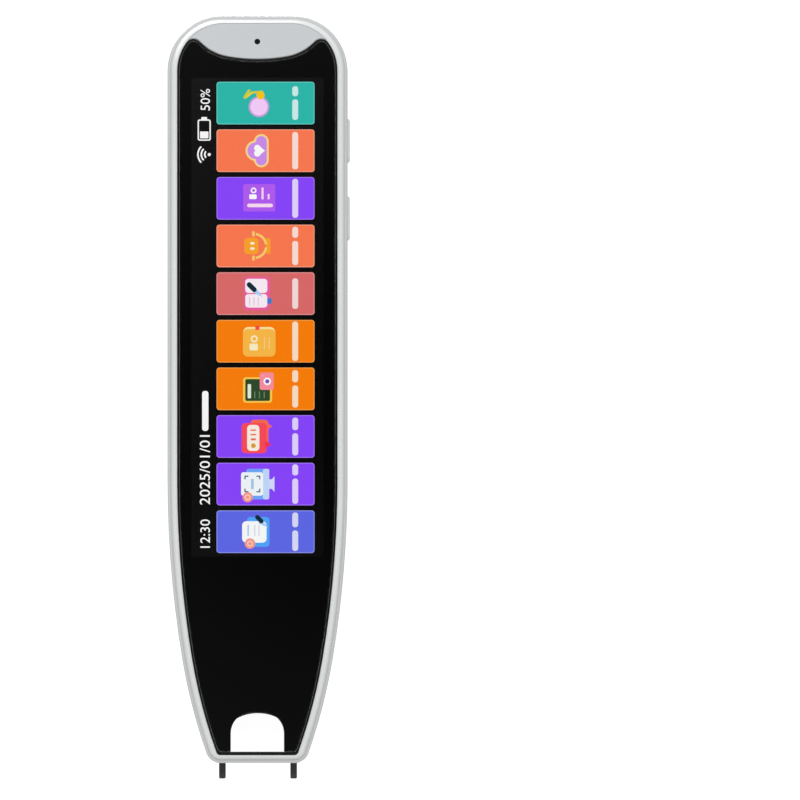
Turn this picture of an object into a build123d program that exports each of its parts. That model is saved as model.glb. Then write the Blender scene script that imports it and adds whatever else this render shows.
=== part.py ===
from build123d import *

import math
import os

# Handheld scanning translator pen, modelled piece by piece as it comes apart on a bench.
#
# Units are millimetres. The pen lies on its back with the screen facing +Z. +Y runs from the scanning nib to
# the microphone end and +X is the side with the two keys. The origin is on the flat back, midway along the
# body. A "drop" is a distance below the microphone end, and a "rise" is a distance above the nib end.

# ---- driving dimensions -----------------------------------------------------------------------------------

# Construction
clear = 1.0  # how far a cutting shape runs past what it cuts
overrun = 3.0  # how far the rear body's form runs past the nib end before it is trimmed
seat_gap = 0.05  # between pieces that are stacked or slid together
level = 0.9  # least Z share of a face normal that counts as facing back
crosswise = 0.99  # least X share of an edge direction that counts as running across

# Body
body_length = 142.0
body_width = 34.2
body_thickness = 13.0
top_corner_radius = 10.45
taper_rise = 53.7  # where the straight sides end
taper_radius = 206.5
nib_taper_rise = 19.5  # where the taper tightens
nib_taper_radius = 106.0
bottom_corner_radius = 2.8
wall = 1.3
back_edge_radius = 4.8
back_slope_rise = 51.0  # where the back starts to rise towards the nib
back_slope_radius = 466.0
front_frame_depth = 4.0
parting_gap = 0.12
tongue_height = 0.7
tongue_root = 0.4
tongue_clearance = 0.05

# Front frame
rim_side = 1.85
rim_top = 1.45
rim_bottom = 1.5
rim_radius = 1.6
opening_corner = 0.8
deck_thickness = 1.0
display_opening_width = 27.0
display_opening_drop = 10.2
display_opening_length = 97.0

# Crescent panel over the microphone
crescent_drop = 8.28  # middle of its lower edge
crescent_radius = 32.3
crescent_half = 5.7  # half width of the flat middle arc
crescent_side_radius = 9.54
horn_radius = 1.7
horn_drop = 5.5  # the horns lie above this
panel_recess = 0.05  # below the rim
panel_clearance = 0.03
panel_bevel = 0.05
panel_edge_radius = 0.25  # of its edge beside the black trim
panel_shoulder_drop = 3.2  # the edge beside the black trim lies below this
mic_hole_radius = 0.55
mic_drop = 4.94

# Cover glass stack
bezel_recess = 0.35
bezel_width = 0.37
bezel_bottom_width = 0.58
bezel_clearance = 0.05
glass_recess = 0.15
glass_thickness = 0.8
glass_bevel = 0.25
glass_clearance = 0.05
mask_thickness = 0.05
mask_inset = 0.02
mask_margin = 0.3  # past the display's lit area
glass_tape_thickness = 0.1
glass_tape_inset = 0.1
active_width = 24.5
active_drop = 12.1
active_length = 90.4
window_half = 5.05
window_rise = 9.65
window_corner = 4.0

# Display module
lcd_width = 26.6
lcd_drop = 10.6
lcd_length = 95.9
lcd_gap = 0.07
lcd_thickness = 1.08
backlight_thickness = 1.6
backlight_width = 26.2
backlight_top_inset = 2.2
backlight_bottom_inset = 0.6
mid_frame_thickness = 0.8
mid_frame_inset = 1.75
mid_frame_drop = 3.0
mid_frame_rise = 12.7
mid_frame_notch = (6.6, 13.5)  # half width and drop, over the charging socket
rail_gap = 0.2
rail_wall_gap = 0.35
rail_length = 77.0
rail_drop = 54.7

# Screws
top_screw_place = (6.1, 6.4)  # in from the side, drop
nib_screw_places = [(6.5, 28.5), (7.9, 16.7)]  # in from the side, rise
boss_radius = 1.8
boss_hole_depth = 3.6
screw_shaft_radius = 0.58
thread_clearance = 0.02
screw_hole_radius = 0.8
screw_head_radius = 1.25
screw_head_height = 0.6
screw_length = 6.2
head_pocket_radius = 1.4
head_pocket_depth = 0.7
recess_share = 0.6  # cross recess, as shares of the screw head's height and radius
recess_arm = 1.1
recess_blade = 0.22
board_screw_places = [(-10.6, 31.0), (9.6, 49.0), (-10.6, 53.0)]  # x, drop
board_boss_radius = 1.5
board_screw_shaft = 0.42
board_screw_bore = 0.45
board_screw_bore_depth = 2.2
board_screw_hole = 0.7
board_screw_head = 1.1
board_screw_head_height = 0.55
board_screw_length = 2.6

# Nib opening, fork and hood
cutout_half = 7.9
cutout_centre = 6.75
cutout_crown = 4.95
tip_chamfer_half = 9.45  # half width and rise where the shell's two tips start to narrow
tip_chamfer_rise = 2.15
crossbar_back = 7.6
crossbar_depth = 2.0
crossbar_half = 7.8
tunnel_half_back = 6.0
tunnel_half_front = 5.2
tunnel_clearance = 0.1
collar_wall = 0.9
collar_corner = 0.5
fork_outer = 7.425
fork_inner = 6.175
fork_centre = 5.0
fork_outer_crown = 5.4
fork_inner_crown = 4.3
fork_back = 3.5
fork_depth = 1.8
fork_reach = 3.25
fork_tip_radius = 0.25
nib_travel = 0.6
hood_clearance = 0.075
hood_fit = 0.05
hood_skin = 0.3  # how far the hood sits under the shell's outer surface
hood_front_gap = 0.05
hood_foot = 0.15
stem_x = 4.6
stem_radius = 0.7
stem_root_rise = 8.4
stem_clearance = 0.08
stem_rise = 19.0
stem_boss_radius = 1.2
stem_boss_root = 9.9
stem_boss_rise = 12.25
clip_radius = 1.3
clip_bore_clearance = 0.015
clip_thickness = 0.5
spring_coil_radius = 1.03
spring_wire_radius = 0.12
spring_turns = 5
spring_end_gap = 0.02
guide_rise = 16.2
guide_depth = 1.6
guide_half = 6.6
guide_top = 6.0
guide_notch_half = 3.4
guide_notch_floor = 4.5
nib_board_size = (12.0, 7.5, 0.52)
nib_board_offset = 0.5
nib_board_lead = 0.25  # past the switch towards the nib
nib_switch_size = (3.0, 3.2, 2.78)
nib_plunger_radius = 0.6
nib_plunger_length = 1.2
nib_plunger_stand = 0.8
nib_plunger_bore = (0.08, 1.1)  # clearance and depth

# Scanning camera
camera_fork_gap = 0.23  # between the fork and the edge of the window
camera_window_radius = 0.95
camera_window_thickness = 0.5
camera_window_clearance = 0.03
camera_window_ledge = 0.2
lens_radius = 1.6
lens_rise = 13.0
lens_length = 2.2
lens_bevel = 0.25
lens_recess = (0.9, 0.5)  # radius and depth
camera_half = 3.1
camera_depth = 3.3
camera_below = 1.75
camera_corner = 0.3
camera_board_half = 3.6
camera_board_thickness = 0.6
camera_board_below = 1.08
led_x = 2.75
led_size = (1.6, 0.65, 1.6)
led_rise = 11.55
led_lift = 0.1  # lamp centres above the camera's axis
led_hole_radius = 0.55
led_board_size = (7.4, 0.48, 2.15)
led_board_hole = 1.0
led_board_below = 0.73

# Keys on the +X side
key_length = 8.5
key_width = 2.6
key_proud = 0.45
key_clearance = 0.1
key_edge_radius = 0.6
key_z = 6.3
key_drops = {"power": 23.6, "function": 38.4}
key_travel = 0.25
key_flange = 0.6
key_flange_gap = 0.06
key_flange_margins = (1.5, 1.1)  # wider than the key along Y and Z
nub_radius = 0.8
nub_length = 0.3
switch_gap = 0.05
switch_plunger_radius = 0.7
switch_plunger_tail = 0.3
switch_plunger_stand = 0.15  # what still shows when pressed
switch_bore_clearance = 0.08
switch_size = (1.2, 3.8, 2.8)
key_board_thickness = 0.5
key_board_margin = 4.5
key_board_top = 8.1
bracket_thickness = 0.4
bracket_foot = 2.6
bracket_margin = 3.5
bracket_drop = 0.2  # its upper edge below the key board's

# Charging socket in the microphone end
usb_width = 8.94
usb_height = 3.26
usb_length = 7.3
usb_wall = 0.3
usb_back_wall = 1.0
usb_z = 6.8
usb_recess = 0.5
usb_slot_clearance = 0.2
usb_tab_length = 1.6
usb_tab_reach = 1.1
usb_tab_root = 0.6
usb_tab_places = (0.7, 3.6)
usb_tab_thickness = 0.3
usb_tongue_width = 6.7
usb_tongue_thickness = 0.7
usb_tongue_recess = 0.9

# Boards and battery
board_bottom = 4.7
board_thickness = 0.8
board_left_margin = 2.8
board_right_margin = 3.7
board_drops = (2.3, 57.0)
board_clearance = 0.6
boss_clearance = 0.3
socket_clearance = 0.15
shield_size = (15.0, 16.0, 1.9)
shield_drop = 22.0
shield_wall = 0.25
components = {  # x, drop, width, length, height on the main board
    "memory_chip": (-2.0, 43.0, 7.0, 6.0, 0.9),
    "power_chip": (5.6, 43.0, 4.0, 4.0, 0.8),
    "audio_chip": (4.2, 15.5, 3.0, 3.0, 0.7),
    "radio_module": (-9.0, 44.0, 5.6, 8.0, 1.4),
    "display_socket": (0.0, 12.6, 9.6, 2.2, 1.1),
}
component_bevel = 0.1
battery_width = 24.0
battery_drop = 61.0
battery_length = 50.0
battery_thickness = 4.7
battery_edge = 1.4
battery_gap = 0.12  # between the tape and the chassis
battery_tape_thickness = 0.18
battery_tape_inset = 3.0
battery_board_size = (16.0, 0.7, 3.2)
battery_board_z = 4.0
lead_radius = 0.32
lead_xs = (-6.0, -4.6)
lead_levels = (6.6, 6.1)
lead_run = 8.2
lead_bend = 1.6
plug_size = (3.8, 3.0, 1.5)

# Speaker and its grille
speaker_drop = 18.28
speaker_radius = 8.5
speaker_height = 2.7
speaker_rim = 0.9
speaker_plate = 0.5
speaker_vent_radius = 0.7
speaker_vent_reach = 5.9
seat_wall = 0.8
seat_clearance = 0.15
seat_height = 1.6
magnet_radius = 4.4
magnet_thickness = 1.0
gasket_thickness = 0.4
gasket_width = 1.4
cone_thickness = 0.14
cone_lift = 0.25
cone_profile = [(0, 0.62), (2.04, 0.5), (3.4, 0.12), (6.4, 0.32), (7.58, 0)]  # radius, height over the rim
mesh_thickness = 0.08
mesh_lift = 0.02
speaker_lead_radius = 0.13
speaker_lead_xs = (-1.0, 0.2)
speaker_lead_points = [(24.6, 0.16), (29.6, 0.16), (36.6, 0.12)]  # drop, height over the speaker
speaker_lead_bend = 30.0
grille_radius = 7.5  # centre to petal tip
petal_half = 2.12
petal_widest = 2.6  # distance from the centre where a petal is widest
petal_root = 0.5  # how far a petal's outline runs past the centre
petal_groove = 0.62
petal_groove_depth = 0.4
petal_line = 0.34
petal_line_depth = 0.2
petal_crossing = 2.1
petal_clear_radius = 1.15
petal_tip_slope = (0.6, -1)
petal_root_slope = (-0.9, -0.6)
tip_growth = 1.6  # how much further a pointed tip moves than a straight side
grille_hole_radius = 0.33
grille_holes = [(0.7, 6.0), (1.42, 4.93), (1.9, 3.85)]  # beside and along a petal's axis
teardrop_radius = 9.88
teardrop_tip_drop = 64.9
teardrop_flank = [(7.6, 34.5), (6.2, 44.0), (4.3, 53.5), (2.5, 59.2)]  # half width, drop
teardrop_tip_slope = (-1, -1.15)
teardrop_groove = 0.38
teardrop_groove_depth = 0.28

# Ribbons, microphone and aerial
flex_thickness = 0.12
flex_gap = 0.07
display_flex_half = 4.5
display_flex_bulge = 0.9
display_flex_tuck = 1.8
mic_can = (2.8, 3.8, 0.95)
mic_boot_radius = 1.3
mic_boot_bore = 0.6
mic_boot_height = 0.55
mic_flex_span = (-6.4, -1.0)
mic_flex_bend_drop = 9.14
mic_flex_tuck = 1.4
mic_flex_lift = 0.35
camera_flex_span = (-2.6, 1.6)
camera_flex_top = 7.6
camera_flex_drop = 0.28  # below the battery
camera_flex_lap = 1.5  # how far it runs on under the main board
antenna_gap = 0.06
antenna_thickness = 0.15
antenna_drops = (22.0, 46.0)
antenna_z = 5.8
coax_radius = 0.36
coax_bend = 1.5
coax_points = [(0, 39.0, 7.6), (0, 46.5, 7.6), (2.2, 48.6, 7.4), (5.0, 48.6, 7.2)]  # inward, drop, height

# ---- derived levels ---------------------------------------------------------------------------------------

half_width = body_width / 2
inner_x = half_width - wall
top_y = body_length / 2
nib_y = -body_length / 2
slope_y = nib_y + back_slope_rise
split_height = body_thickness - front_frame_depth
glass_top = body_thickness - glass_recess
glass_bottom = glass_top - glass_thickness
mask_back = glass_bottom - mask_thickness
deck_top = mask_back - glass_tape_thickness
deck_bottom = deck_top - deck_thickness
lcd_front = mask_back - lcd_gap
lcd_back = lcd_front - lcd_thickness
backlight_back = lcd_back - backlight_thickness
mid_frame_front = backlight_back - seat_gap
mid_frame_back = mid_frame_front - mid_frame_thickness
boss_top = mid_frame_back - seat_gap
board_top = board_bottom + board_thickness
battery_top = mid_frame_back - battery_gap - battery_tape_thickness
battery_bottom = battery_top - battery_thickness
stem_z = fork_back + fork_depth / 2
camera_z = fork_back + fork_depth + camera_fork_gap + camera_window_radius
hood_step = fork_back + fork_depth + 2 * seat_gap
hood_front = crossbar_back - hood_front_gap
spring_rise = stem_boss_rise + seat_gap + clip_thickness
speaker_bottom = wall + gasket_thickness
speaker_top = speaker_bottom + speaker_height
flange_outer = inner_x - key_flange_gap
flange_inner = flange_outer - key_flange
nub_end = flange_inner - nub_length
plunger_outer = nub_end - switch_gap
switch_front = plunger_outer - key_travel - switch_plunger_stand
switch_back = switch_front - switch_size[0]
key_board_back = switch_back - key_board_thickness


# ---- helpers ----------------------------------------------------------------------------------------------


def below_top(drop):
    """Y at a distance below the microphone end."""
    return top_y - drop


def above_nib(rise):
    """Y at a distance above the nib end of the body."""
    return nib_y + rise


def floor_at(y):
    """Height of the rear shell's inner floor at Y, where it follows the slope towards the nib."""
    run = max(slope_y - y, 0)
    radius = back_slope_radius - wall
    return wall + radius - math.sqrt(radius**2 - run**2)


def block(x0, x1, y0, y1, z0, z1):
    """A box between two corners."""
    size = Box(abs(x1 - x0), abs(y1 - y0), abs(z1 - z0))
    return Pos((x0 + x1) / 2, (y0 + y1) / 2, (z0 + z1) / 2) * size


def post(radius, x, y, z0, z1):
    """A cylinder along Z."""
    return Pos(x, y, (z0 + z1) / 2) * Cylinder(radius, z1 - z0)


def rod(radius, x, z, y0, y1):
    """A cylinder along Y."""
    return Pos(x, (y0 + y1) / 2, z) * Rot(90, 0, 0) * Cylinder(radius, y1 - y0)


def pin(radius, y, z, x0, x1):
    """A cylinder along X."""
    return Pos((x0 + x1) / 2, y, z) * Rot(0, 90, 0) * Cylinder(radius, x1 - x0)


def plate(face, z0, z1):
    """A flat face drawn on the XY plane, raised from z0 to z1."""
    return extrude(Pos(0, 0, z0) * face, z1 - z0, dir=(0, 0, 1))


def pill_x(length, width, y, z, x0, x1):
    """A round-ended bar along X, whose section is long in Y."""
    section = Plane.YZ * SlotOverall(length, width)
    return extrude(Pos(x0, y, z) * section, x1 - x0, dir=(1, 0, 0))


def pill_y(length, width, x, z, y0, y1):
    """A round-ended bar along Y, whose section is long in X."""
    section = Plane.XZ * SlotOverall(length, width)
    return extrude(Pos(x, y0, z) * section, y1 - y0, dir=(0, 1, 0))


def arc_about(centre, radius, start, end):
    """An arc about a centre, between two angles in degrees."""

    def at(angle):
        turn = math.radians(angle)
        return (centre[0] + radius * math.cos(turn), centre[1] + radius * math.sin(turn))

    return ThreePointArc(at(start), at((start + end) / 2), at(end))


def closed(right_edges):
    """A face symmetric about X = 0, from the edges of its right half and their mirror images."""
    half = Wire(right_edges)
    return make_face([*half.edges(), *half.mirror(Plane.YZ).edges()])


def both_sides(shape):
    """A shape and its mirror image across X = 0."""
    return shape + shape.mirror(Plane.YZ)


def largest(shape):
    """The biggest solid of a boolean result."""
    return shape.solids().sort_by(SortBy.VOLUME)[-1]


def top_edges(shape):
    """The edges of the face nearest the screen."""
    return shape.faces().sort_by(Axis.Z)[-1].edges()


def rounded(radius, points, bend):
    """A round wire or lead along straight runs joined by tangent arcs of one bend radius."""
    path = FilletPolyline(*points, radius=[bend] * (len(points) - 2))
    start = Plane(origin=path @ 0, z_dir=path % 0)
    return sweep(start * Circle(radius), path=path)


def ribbon(points, x0, x1):
    """A flat flexible circuit whose side view is a line of (y, z) points."""
    line = Polyline(*[(0, y, z) for y, z in points])
    outline = offset(line, flex_thickness / 2, kind=Kind.INTERSECTION, side=Side.BOTH)
    return extrude(Pos(x0, 0, 0) * make_face(outline.edges()), x1 - x0, dir=(1, 0, 0))


# ---- outlines ---------------------------------------------------------------------------------------------

taper_turn = math.asin((taper_rise - nib_taper_rise) / taper_radius)
taper_centre = (half_width - taper_radius, above_nib(taper_rise))
nib_taper_centre = (
    taper_centre[0] + (taper_radius - nib_taper_radius) * math.cos(taper_turn),
    taper_centre[1] - (taper_radius - nib_taper_radius) * math.sin(taper_turn),
)


def plan_face(side=0.0, top=None, bottom=None, corner=0.0):
    """The body's outline seen from the front, drawn in by an amount at the sides, the top and the nib end."""
    top = side if top is None else top
    bottom = side if bottom is None else bottom
    half = half_width - side
    corner_radius = top_corner_radius - top
    corner_centre = (half - corner_radius, top_y - top - corner_radius)
    end_y = above_nib(bottom)
    end_radius = nib_taper_radius - side
    end_turn = math.asin((nib_taper_centre[1] - end_y) / end_radius)
    end_x = nib_taper_centre[0] + end_radius * math.cos(end_turn)
    first, last = math.degrees(taper_turn), math.degrees(end_turn)
    face = closed(
        [
            Line((0, top_y - top), (corner_centre[0], top_y - top)),
            arc_about(corner_centre, corner_radius, 90, 0),
            Line((half, corner_centre[1]), (half, taper_centre[1])),
            arc_about(taper_centre, taper_radius - side, 0, -first),
            arc_about(nib_taper_centre, end_radius, -first, -last),
            Line((end_x, end_y), (0, end_y)),
        ]
    )
    if corner:
        corners = [v for v in face.vertices() if v.Y < end_y + seat_gap and abs(v.X) > clear]
        face = fillet(corners, corner)
    return face


def crescent_face(grow=0.0):
    """Everything above the crescent's lower edge, with that edge moved towards the nib by an amount."""
    middle = (0.0, below_top(crescent_drop) + crescent_radius)
    turn = math.asin(crescent_half / crescent_radius)
    reach = crescent_radius - crescent_side_radius
    side = (reach * math.sin(turn), middle[1] - reach * math.cos(turn))
    side_end = side[0] + crescent_side_radius + grow
    start = -90 + math.degrees(turn)
    far = top_y + clear
    return closed(
        [
            arc_about(middle, crescent_radius + grow, -90, start),
            arc_about(side, crescent_side_radius + grow, start, 0),
            Line((side_end, side[1]), (side_end, far)),
            Line((side_end, far), (0, far)),
        ]
    )


def opening_face(shrink=0.0, bottom=None):
    """The front frame's opening, which the glass and the crescent panel fill."""
    bottom = shrink if bottom is None else bottom
    return plan_face(rim_side + shrink, rim_top + shrink, rim_bottom + bottom, opening_corner)


def black_face(shrink=0.0, bottom=None):
    """The part of the opening below the crescent, with its two horns rounded."""
    face = opening_face(shrink, bottom) - crescent_face(shrink)
    face = face.faces().sort_by(SortBy.AREA)[-1]
    horns = [v for v in face.vertices() if v.Y > below_top(horn_drop)]
    tips = [max((v for v in horns if v.X * side > 0), key=lambda v: v.Y) for side in (1, -1)]
    return fillet(tips, max(horn_radius - shrink, glass_bevel))


def arch_face(half, rise, corner, bottom):
    """A window with a flat top and two rounded upper corners, measured above the nib end."""
    y_top, y_bottom = above_nib(rise), above_nib(bottom)
    return closed(
        [
            Line((0, y_top), (half - corner, y_top)),
            arc_about((half - corner, y_top - corner), corner, 90, 0),
            Line((half, y_top - corner), (half, y_bottom)),
            Line((half, y_bottom), (0, y_bottom)),
        ]
    )


def u_face(half, centre, crown, bottom):
    """An upright U with an elliptical crown, measured above the nib end."""
    y_centre, y_bottom = above_nib(centre), above_nib(bottom)
    return closed(
        [
            EllipticalCenterArc((0, y_centre), half, crown, start_angle=0, arc_size=90),
            Line((half, y_centre), (half, y_bottom)),
            Line((half, y_bottom), (0, y_bottom)),
        ]
    )


def slope_cutter(inset):
    """What lies under the sloping back, once the back is drawn in by an inset."""
    radius = back_slope_radius - inset
    turn = math.asin((slope_y - nib_y + 2 * overrun) / radius)
    end = (slope_y - radius * math.sin(turn), back_slope_radius - radius * math.cos(turn))
    under = make_face(
        [
            arc_about((slope_y, back_slope_radius), radius, -90, -90 - math.degrees(turn)),
            Line(end, (end[0], -clear)),
            Line((end[0], -clear), (slope_y, -clear)),
            Line((slope_y, -clear), (slope_y, inset)),
        ]
    )
    start = Pos(-half_width - clear, 0, 0) * (Plane.YZ * under)
    return extrude(start, body_width + 2 * clear, dir=(1, 0, 0))


def body_solid(inset, top_z):
    """The rear body, drawn in all round by an inset, with its sloping back and rounded back edges."""
    tall = 2 * body_thickness
    solid = plate(plan_face(inset, inset, -overrun), inset, tall).clean()
    solid = largest(solid - slope_cutter(inset))
    backs = [f for f in solid.faces() if f.normal_at(f.center()).Z < -level]
    edges = []
    for face in backs:
        for edge in face.edges():
            crosses = abs((edge % 0.5).X) > crosswise and (edge @ 0.5).Y < 0
            if not crosses:
                edges.append(edge)
    solid = fillet(edges, back_edge_radius - inset)
    return solid - plate(plan_face(-clear, -clear, -overrun - clear), top_z, tall + clear)


# ---- housing ----------------------------------------------------------------------------------------------


def petal_face(grow):
    """One upright petal of the grille, from past the centre to its tip, grown by an amount."""
    outline = Spline(
        (0, grille_radius + grow * tip_growth),
        (petal_half + grow, petal_widest),
        (0, -petal_root - grow * tip_growth),
        tangents=(petal_tip_slope, petal_root_slope),
    )
    return closed([outline])


def petal_band(width):
    """The outline of one petal, drawn with a pen of a width."""
    return petal_face(width / 2) - petal_face(-width / 2)


def petal_groove_cutter():
    """One petal's broad outer groove and the fine lines that run on towards the centre."""
    far = grille_radius + clear
    outer = Pos(0, petal_crossing + far / 2) * Rectangle(far, far)
    inner = Pos(0, petal_crossing / 2) * Rectangle(far, petal_crossing)
    broad = petal_band(petal_groove) & outer
    fine = (petal_band(petal_line) & inner) - Circle(petal_clear_radius)
    return plate(broad, -clear, petal_groove_depth) + plate(fine, -clear, petal_line_depth)


def grille_cutters():
    """The speaker grille: a four-petal ornament of grooves with through holes along its outer arcs."""
    centre = Pos(0, below_top(speaker_drop), 0)
    cutters = []
    for quarter in range(4):
        turned = centre * Rot(0, 0, 90 * quarter)
        cutters.append(turned * petal_groove_cutter())
        for side, along in grille_holes:
            for x in (side, -side):
                cutters.append(turned * post(grille_hole_radius, x, along, -clear, wall + clear))
    return cutters


def teardrop_face(grow):
    """The teardrop outline on the back, round at the speaker and pointed towards the nib."""
    centre_y = below_top(speaker_drop)
    flank = [(half + grow, below_top(drop)) for half, drop in teardrop_flank]
    tip = (0, below_top(teardrop_tip_drop) - grow * tip_growth)
    start = (teardrop_radius + grow, centre_y)
    side = Spline(start, *flank, tip, tangents=((0, -1), teardrop_tip_slope))
    return closed([arc_about((0, centre_y), teardrop_radius + grow, 90, 0), side])


def teardrop_groove_cutter():
    """A shallow groove along the teardrop outline."""
    band = teardrop_face(teardrop_groove / 2) - teardrop_face(-teardrop_groove / 2)
    return plate(band, -clear, teardrop_groove_depth)


def case_screw_points():
    """The case screws on both sides, as (x, y)."""
    places = [(half_width - top_screw_place[0], below_top(top_screw_place[1]))]
    places += [(half_width - inward, above_nib(rise)) for inward, rise in nib_screw_places]
    return [(side * x, y) for x, y in places for side in (1, -1)]


def board_screw_points():
    """The main board's screws, as (x, y)."""
    return [(x, below_top(drop)) for x, drop in board_screw_places]


def shell_posts():
    """Bosses and the speaker's seat, before they are trimmed to the inside of the shell."""
    y = below_top(speaker_drop)
    seat_bore = speaker_radius + seat_clearance
    seat = post(seat_bore + seat_wall, 0, y, 0, wall + seat_height)
    posts = [post(boss_radius, *point, 0, boss_top) for point in case_screw_points()]
    posts += [post(board_boss_radius, *point, 0, board_bottom) for point in board_screw_points()]
    return [*posts, seat - post(seat_bore, 0, y, 0, body_thickness)]


def nib_cutters():
    """The U-shaped opening at the nib and the slanted ends of the shell's two tips."""
    cut = u_face(cutout_half, cutout_centre, cutout_crown, -overrun - clear)
    cutters = [plate(cut, -clear, body_thickness)]
    cutters.append(block(-half_width, half_width, nib_y - 2 * overrun, nib_y, -clear, body_thickness))
    for side in (1, -1):
        tip = Polyline(
            (side * cutout_half, nib_y),
            (side * tip_chamfer_half, above_nib(tip_chamfer_rise)),
            (side * half_width, above_nib(tip_chamfer_rise)),
            (side * half_width, nib_y - clear),
            (side * cutout_half, nib_y - clear),
            close=True,
        )
        cutters.append(plate(make_face(tip), -clear, body_thickness))
    return cutters


def rear_shell():
    """Back housing: moulded shell with screw bosses, speaker seat, grille, key slots and nib opening."""
    shell = body_solid(0, split_height) - body_solid(wall, body_thickness)
    tongue = plan_face(wall / 2 + tongue_clearance) - plan_face(wall)
    shell += plate(tongue, split_height - tongue_root, split_height + tongue_height)
    inside = body_solid(wall / 2, split_height)
    for piece in shell_posts():
        shell += piece & inside
    for x, y in case_screw_points():
        shell -= post(screw_shaft_radius + thread_clearance, x, y, boss_top - boss_hole_depth, body_thickness)
    for x, y in board_screw_points():
        bottom = board_bottom - board_screw_bore_depth
        shell -= post(board_screw_bore, x, y, bottom, board_top)
    for cutter in [*grille_cutters(), teardrop_groove_cutter(), *nib_cutters()]:
        shell -= cutter
    slot_width, slot_height = usb_width + 2 * usb_slot_clearance, usb_height + 2 * usb_slot_clearance
    shell -= pill_y(slot_width, slot_height, 0, usb_z, top_y - 2 * wall, top_y + clear)
    key_slot = (key_length + 2 * key_clearance, key_width + 2 * key_clearance)
    for drop in key_drops.values():
        shell -= pill_x(*key_slot, below_top(drop), key_z, inner_x - clear, half_width + clear)
    return largest(shell)


def tunnel_cutter():
    """The scanning opening through the front frame, narrowing towards the glass."""
    rise = window_rise + tunnel_clearance
    back = arch_face(tunnel_half_back, rise, window_corner, crossbar_depth)
    front = arch_face(tunnel_half_front, rise, window_corner, crossbar_depth)
    return loft([Pos(0, 0, crossbar_back - clear / 2) * back, Pos(0, 0, deck_top + seat_gap) * front])


def display_opening():
    """The rounded opening in the deck that the display fills."""
    middle = below_top(display_opening_drop + display_opening_length / 2)
    return Pos(0, middle) * RectangleRounded(display_opening_width, display_opening_length, opening_corner)


def front_frame():
    """Front housing: rounded rim, deck under the glass, collar round the scanning opening and crossbar."""
    frame = plate(plan_face(corner=bottom_corner_radius), split_height + parting_gap, body_thickness)
    frame = fillet(top_edges(frame), rim_radius)
    frame -= plate(opening_face(), deck_top, body_thickness + clear)
    frame -= plate(plan_face(wall), split_height, deck_bottom)
    groove_top = split_height + tongue_height + seat_gap
    frame -= plate(plan_face(wall / 2), split_height, groove_top)
    collar_half = tunnel_half_back + collar_wall
    collar = arch_face(collar_half, window_rise + collar_wall, window_corner + collar_corner, 0)
    frame += plate(collar, crossbar_back, deck_top - deck_thickness / 2)
    frame += block(-crossbar_half, crossbar_half, nib_y, above_nib(crossbar_depth), crossbar_back, deck_top)
    frame -= tunnel_cutter()
    frame -= plate(display_opening(), deck_bottom - clear, deck_top + clear)
    for x, y in case_screw_points():
        frame += post(boss_radius, x, y, mid_frame_front + seat_gap, deck_top - deck_thickness / 2)
        frame -= post(screw_hole_radius, x, y, mid_frame_front, deck_top + clear)
        frame -= post(head_pocket_radius, x, y, deck_top - head_pocket_depth, deck_top + clear)
    frame -= post(screw_hole_radius, 0, below_top(mic_drop), deck_bottom - clear, deck_top + clear)
    return largest(frame)


def top_panel():
    """Crescent panel over the microphone, with its sound hole."""
    face = opening_face(panel_clearance) - black_face(-panel_clearance)
    height = body_thickness - panel_recess
    panel = plate(face.faces().sort_by(SortBy.AREA)[-1], deck_top, height)
    shoulder = below_top(panel_shoulder_drop)
    panel = fillet([edge for edge in top_edges(panel) if (edge @ 0.5).Y < shoulder], panel_edge_radius)
    panel = chamfer([edge for edge in top_edges(panel) if (edge @ 0.5).Y > shoulder], panel_bevel)
    panel -= post(mic_hole_radius, 0, below_top(mic_drop), deck_top - clear, body_thickness)
    return largest(panel)


def bezel_ring():
    """Black trim ring between the rim and the cover glass."""
    outer = black_face(bezel_clearance)
    inner = black_face(bezel_clearance + bezel_width, bezel_clearance + bezel_bottom_width)
    height = body_thickness - bezel_recess
    return largest(plate(outer, deck_top, height) - plate(inner, deck_top - clear, body_thickness))


# ---- cover glass and display ------------------------------------------------------------------------------


def glass_face(shrink=0.0):
    """The cover glass outline, drawn in by an amount."""
    side = bezel_clearance + bezel_width + glass_clearance + shrink
    bottom = bezel_clearance + bezel_bottom_width + glass_clearance + shrink
    return black_face(side, bottom)


def notch_cutter(grow=0.0):
    """The scanning notch through the cover glass and what lies behind it."""
    notch = arch_face(window_half + grow, window_rise + grow, window_corner, -clear)
    return plate(notch, deck_top - clear, body_thickness)


def cover_glass():
    """Clear cover lens with a bevelled edge."""
    glass = plate(glass_face(), glass_bottom, glass_top)
    return chamfer(top_edges(glass), glass_bevel) - notch_cutter()


def glass_mask():
    """Black print on the back of the cover lens, open over the display."""
    centre = below_top(active_drop + active_length / 2)
    lit = Rectangle(active_width + 2 * mask_margin, active_length + 2 * mask_margin)
    face = glass_face(mask_inset) - Pos(0, centre) * lit
    return plate(face, mask_back, glass_bottom) - notch_cutter(mask_inset)


def glass_tape():
    """Adhesive frame that holds the cover lens on the deck."""
    middle = below_top(display_opening_drop + display_opening_length / 2)
    opening = Rectangle(display_opening_width + glass_tape_inset, display_opening_length + glass_tape_inset)
    face = glass_face(glass_tape_inset) - Pos(0, middle) * opening
    return plate(face, deck_top, mask_back) - notch_cutter(glass_tape_inset)


def lcd_cell():
    """Display glass sandwich, under the cover lens."""
    half = lcd_width / 2
    return block(-half, half, below_top(lcd_drop + lcd_length), below_top(lcd_drop), lcd_back, lcd_front)


def lcd_backlight():
    """Backlight tray behind the display glass."""
    half = backlight_width / 2
    y0 = below_top(lcd_drop + lcd_length - backlight_bottom_inset)
    y1 = below_top(lcd_drop + backlight_top_inset)
    return block(-half, half, y0, y1, backlight_back, lcd_back)


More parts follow.
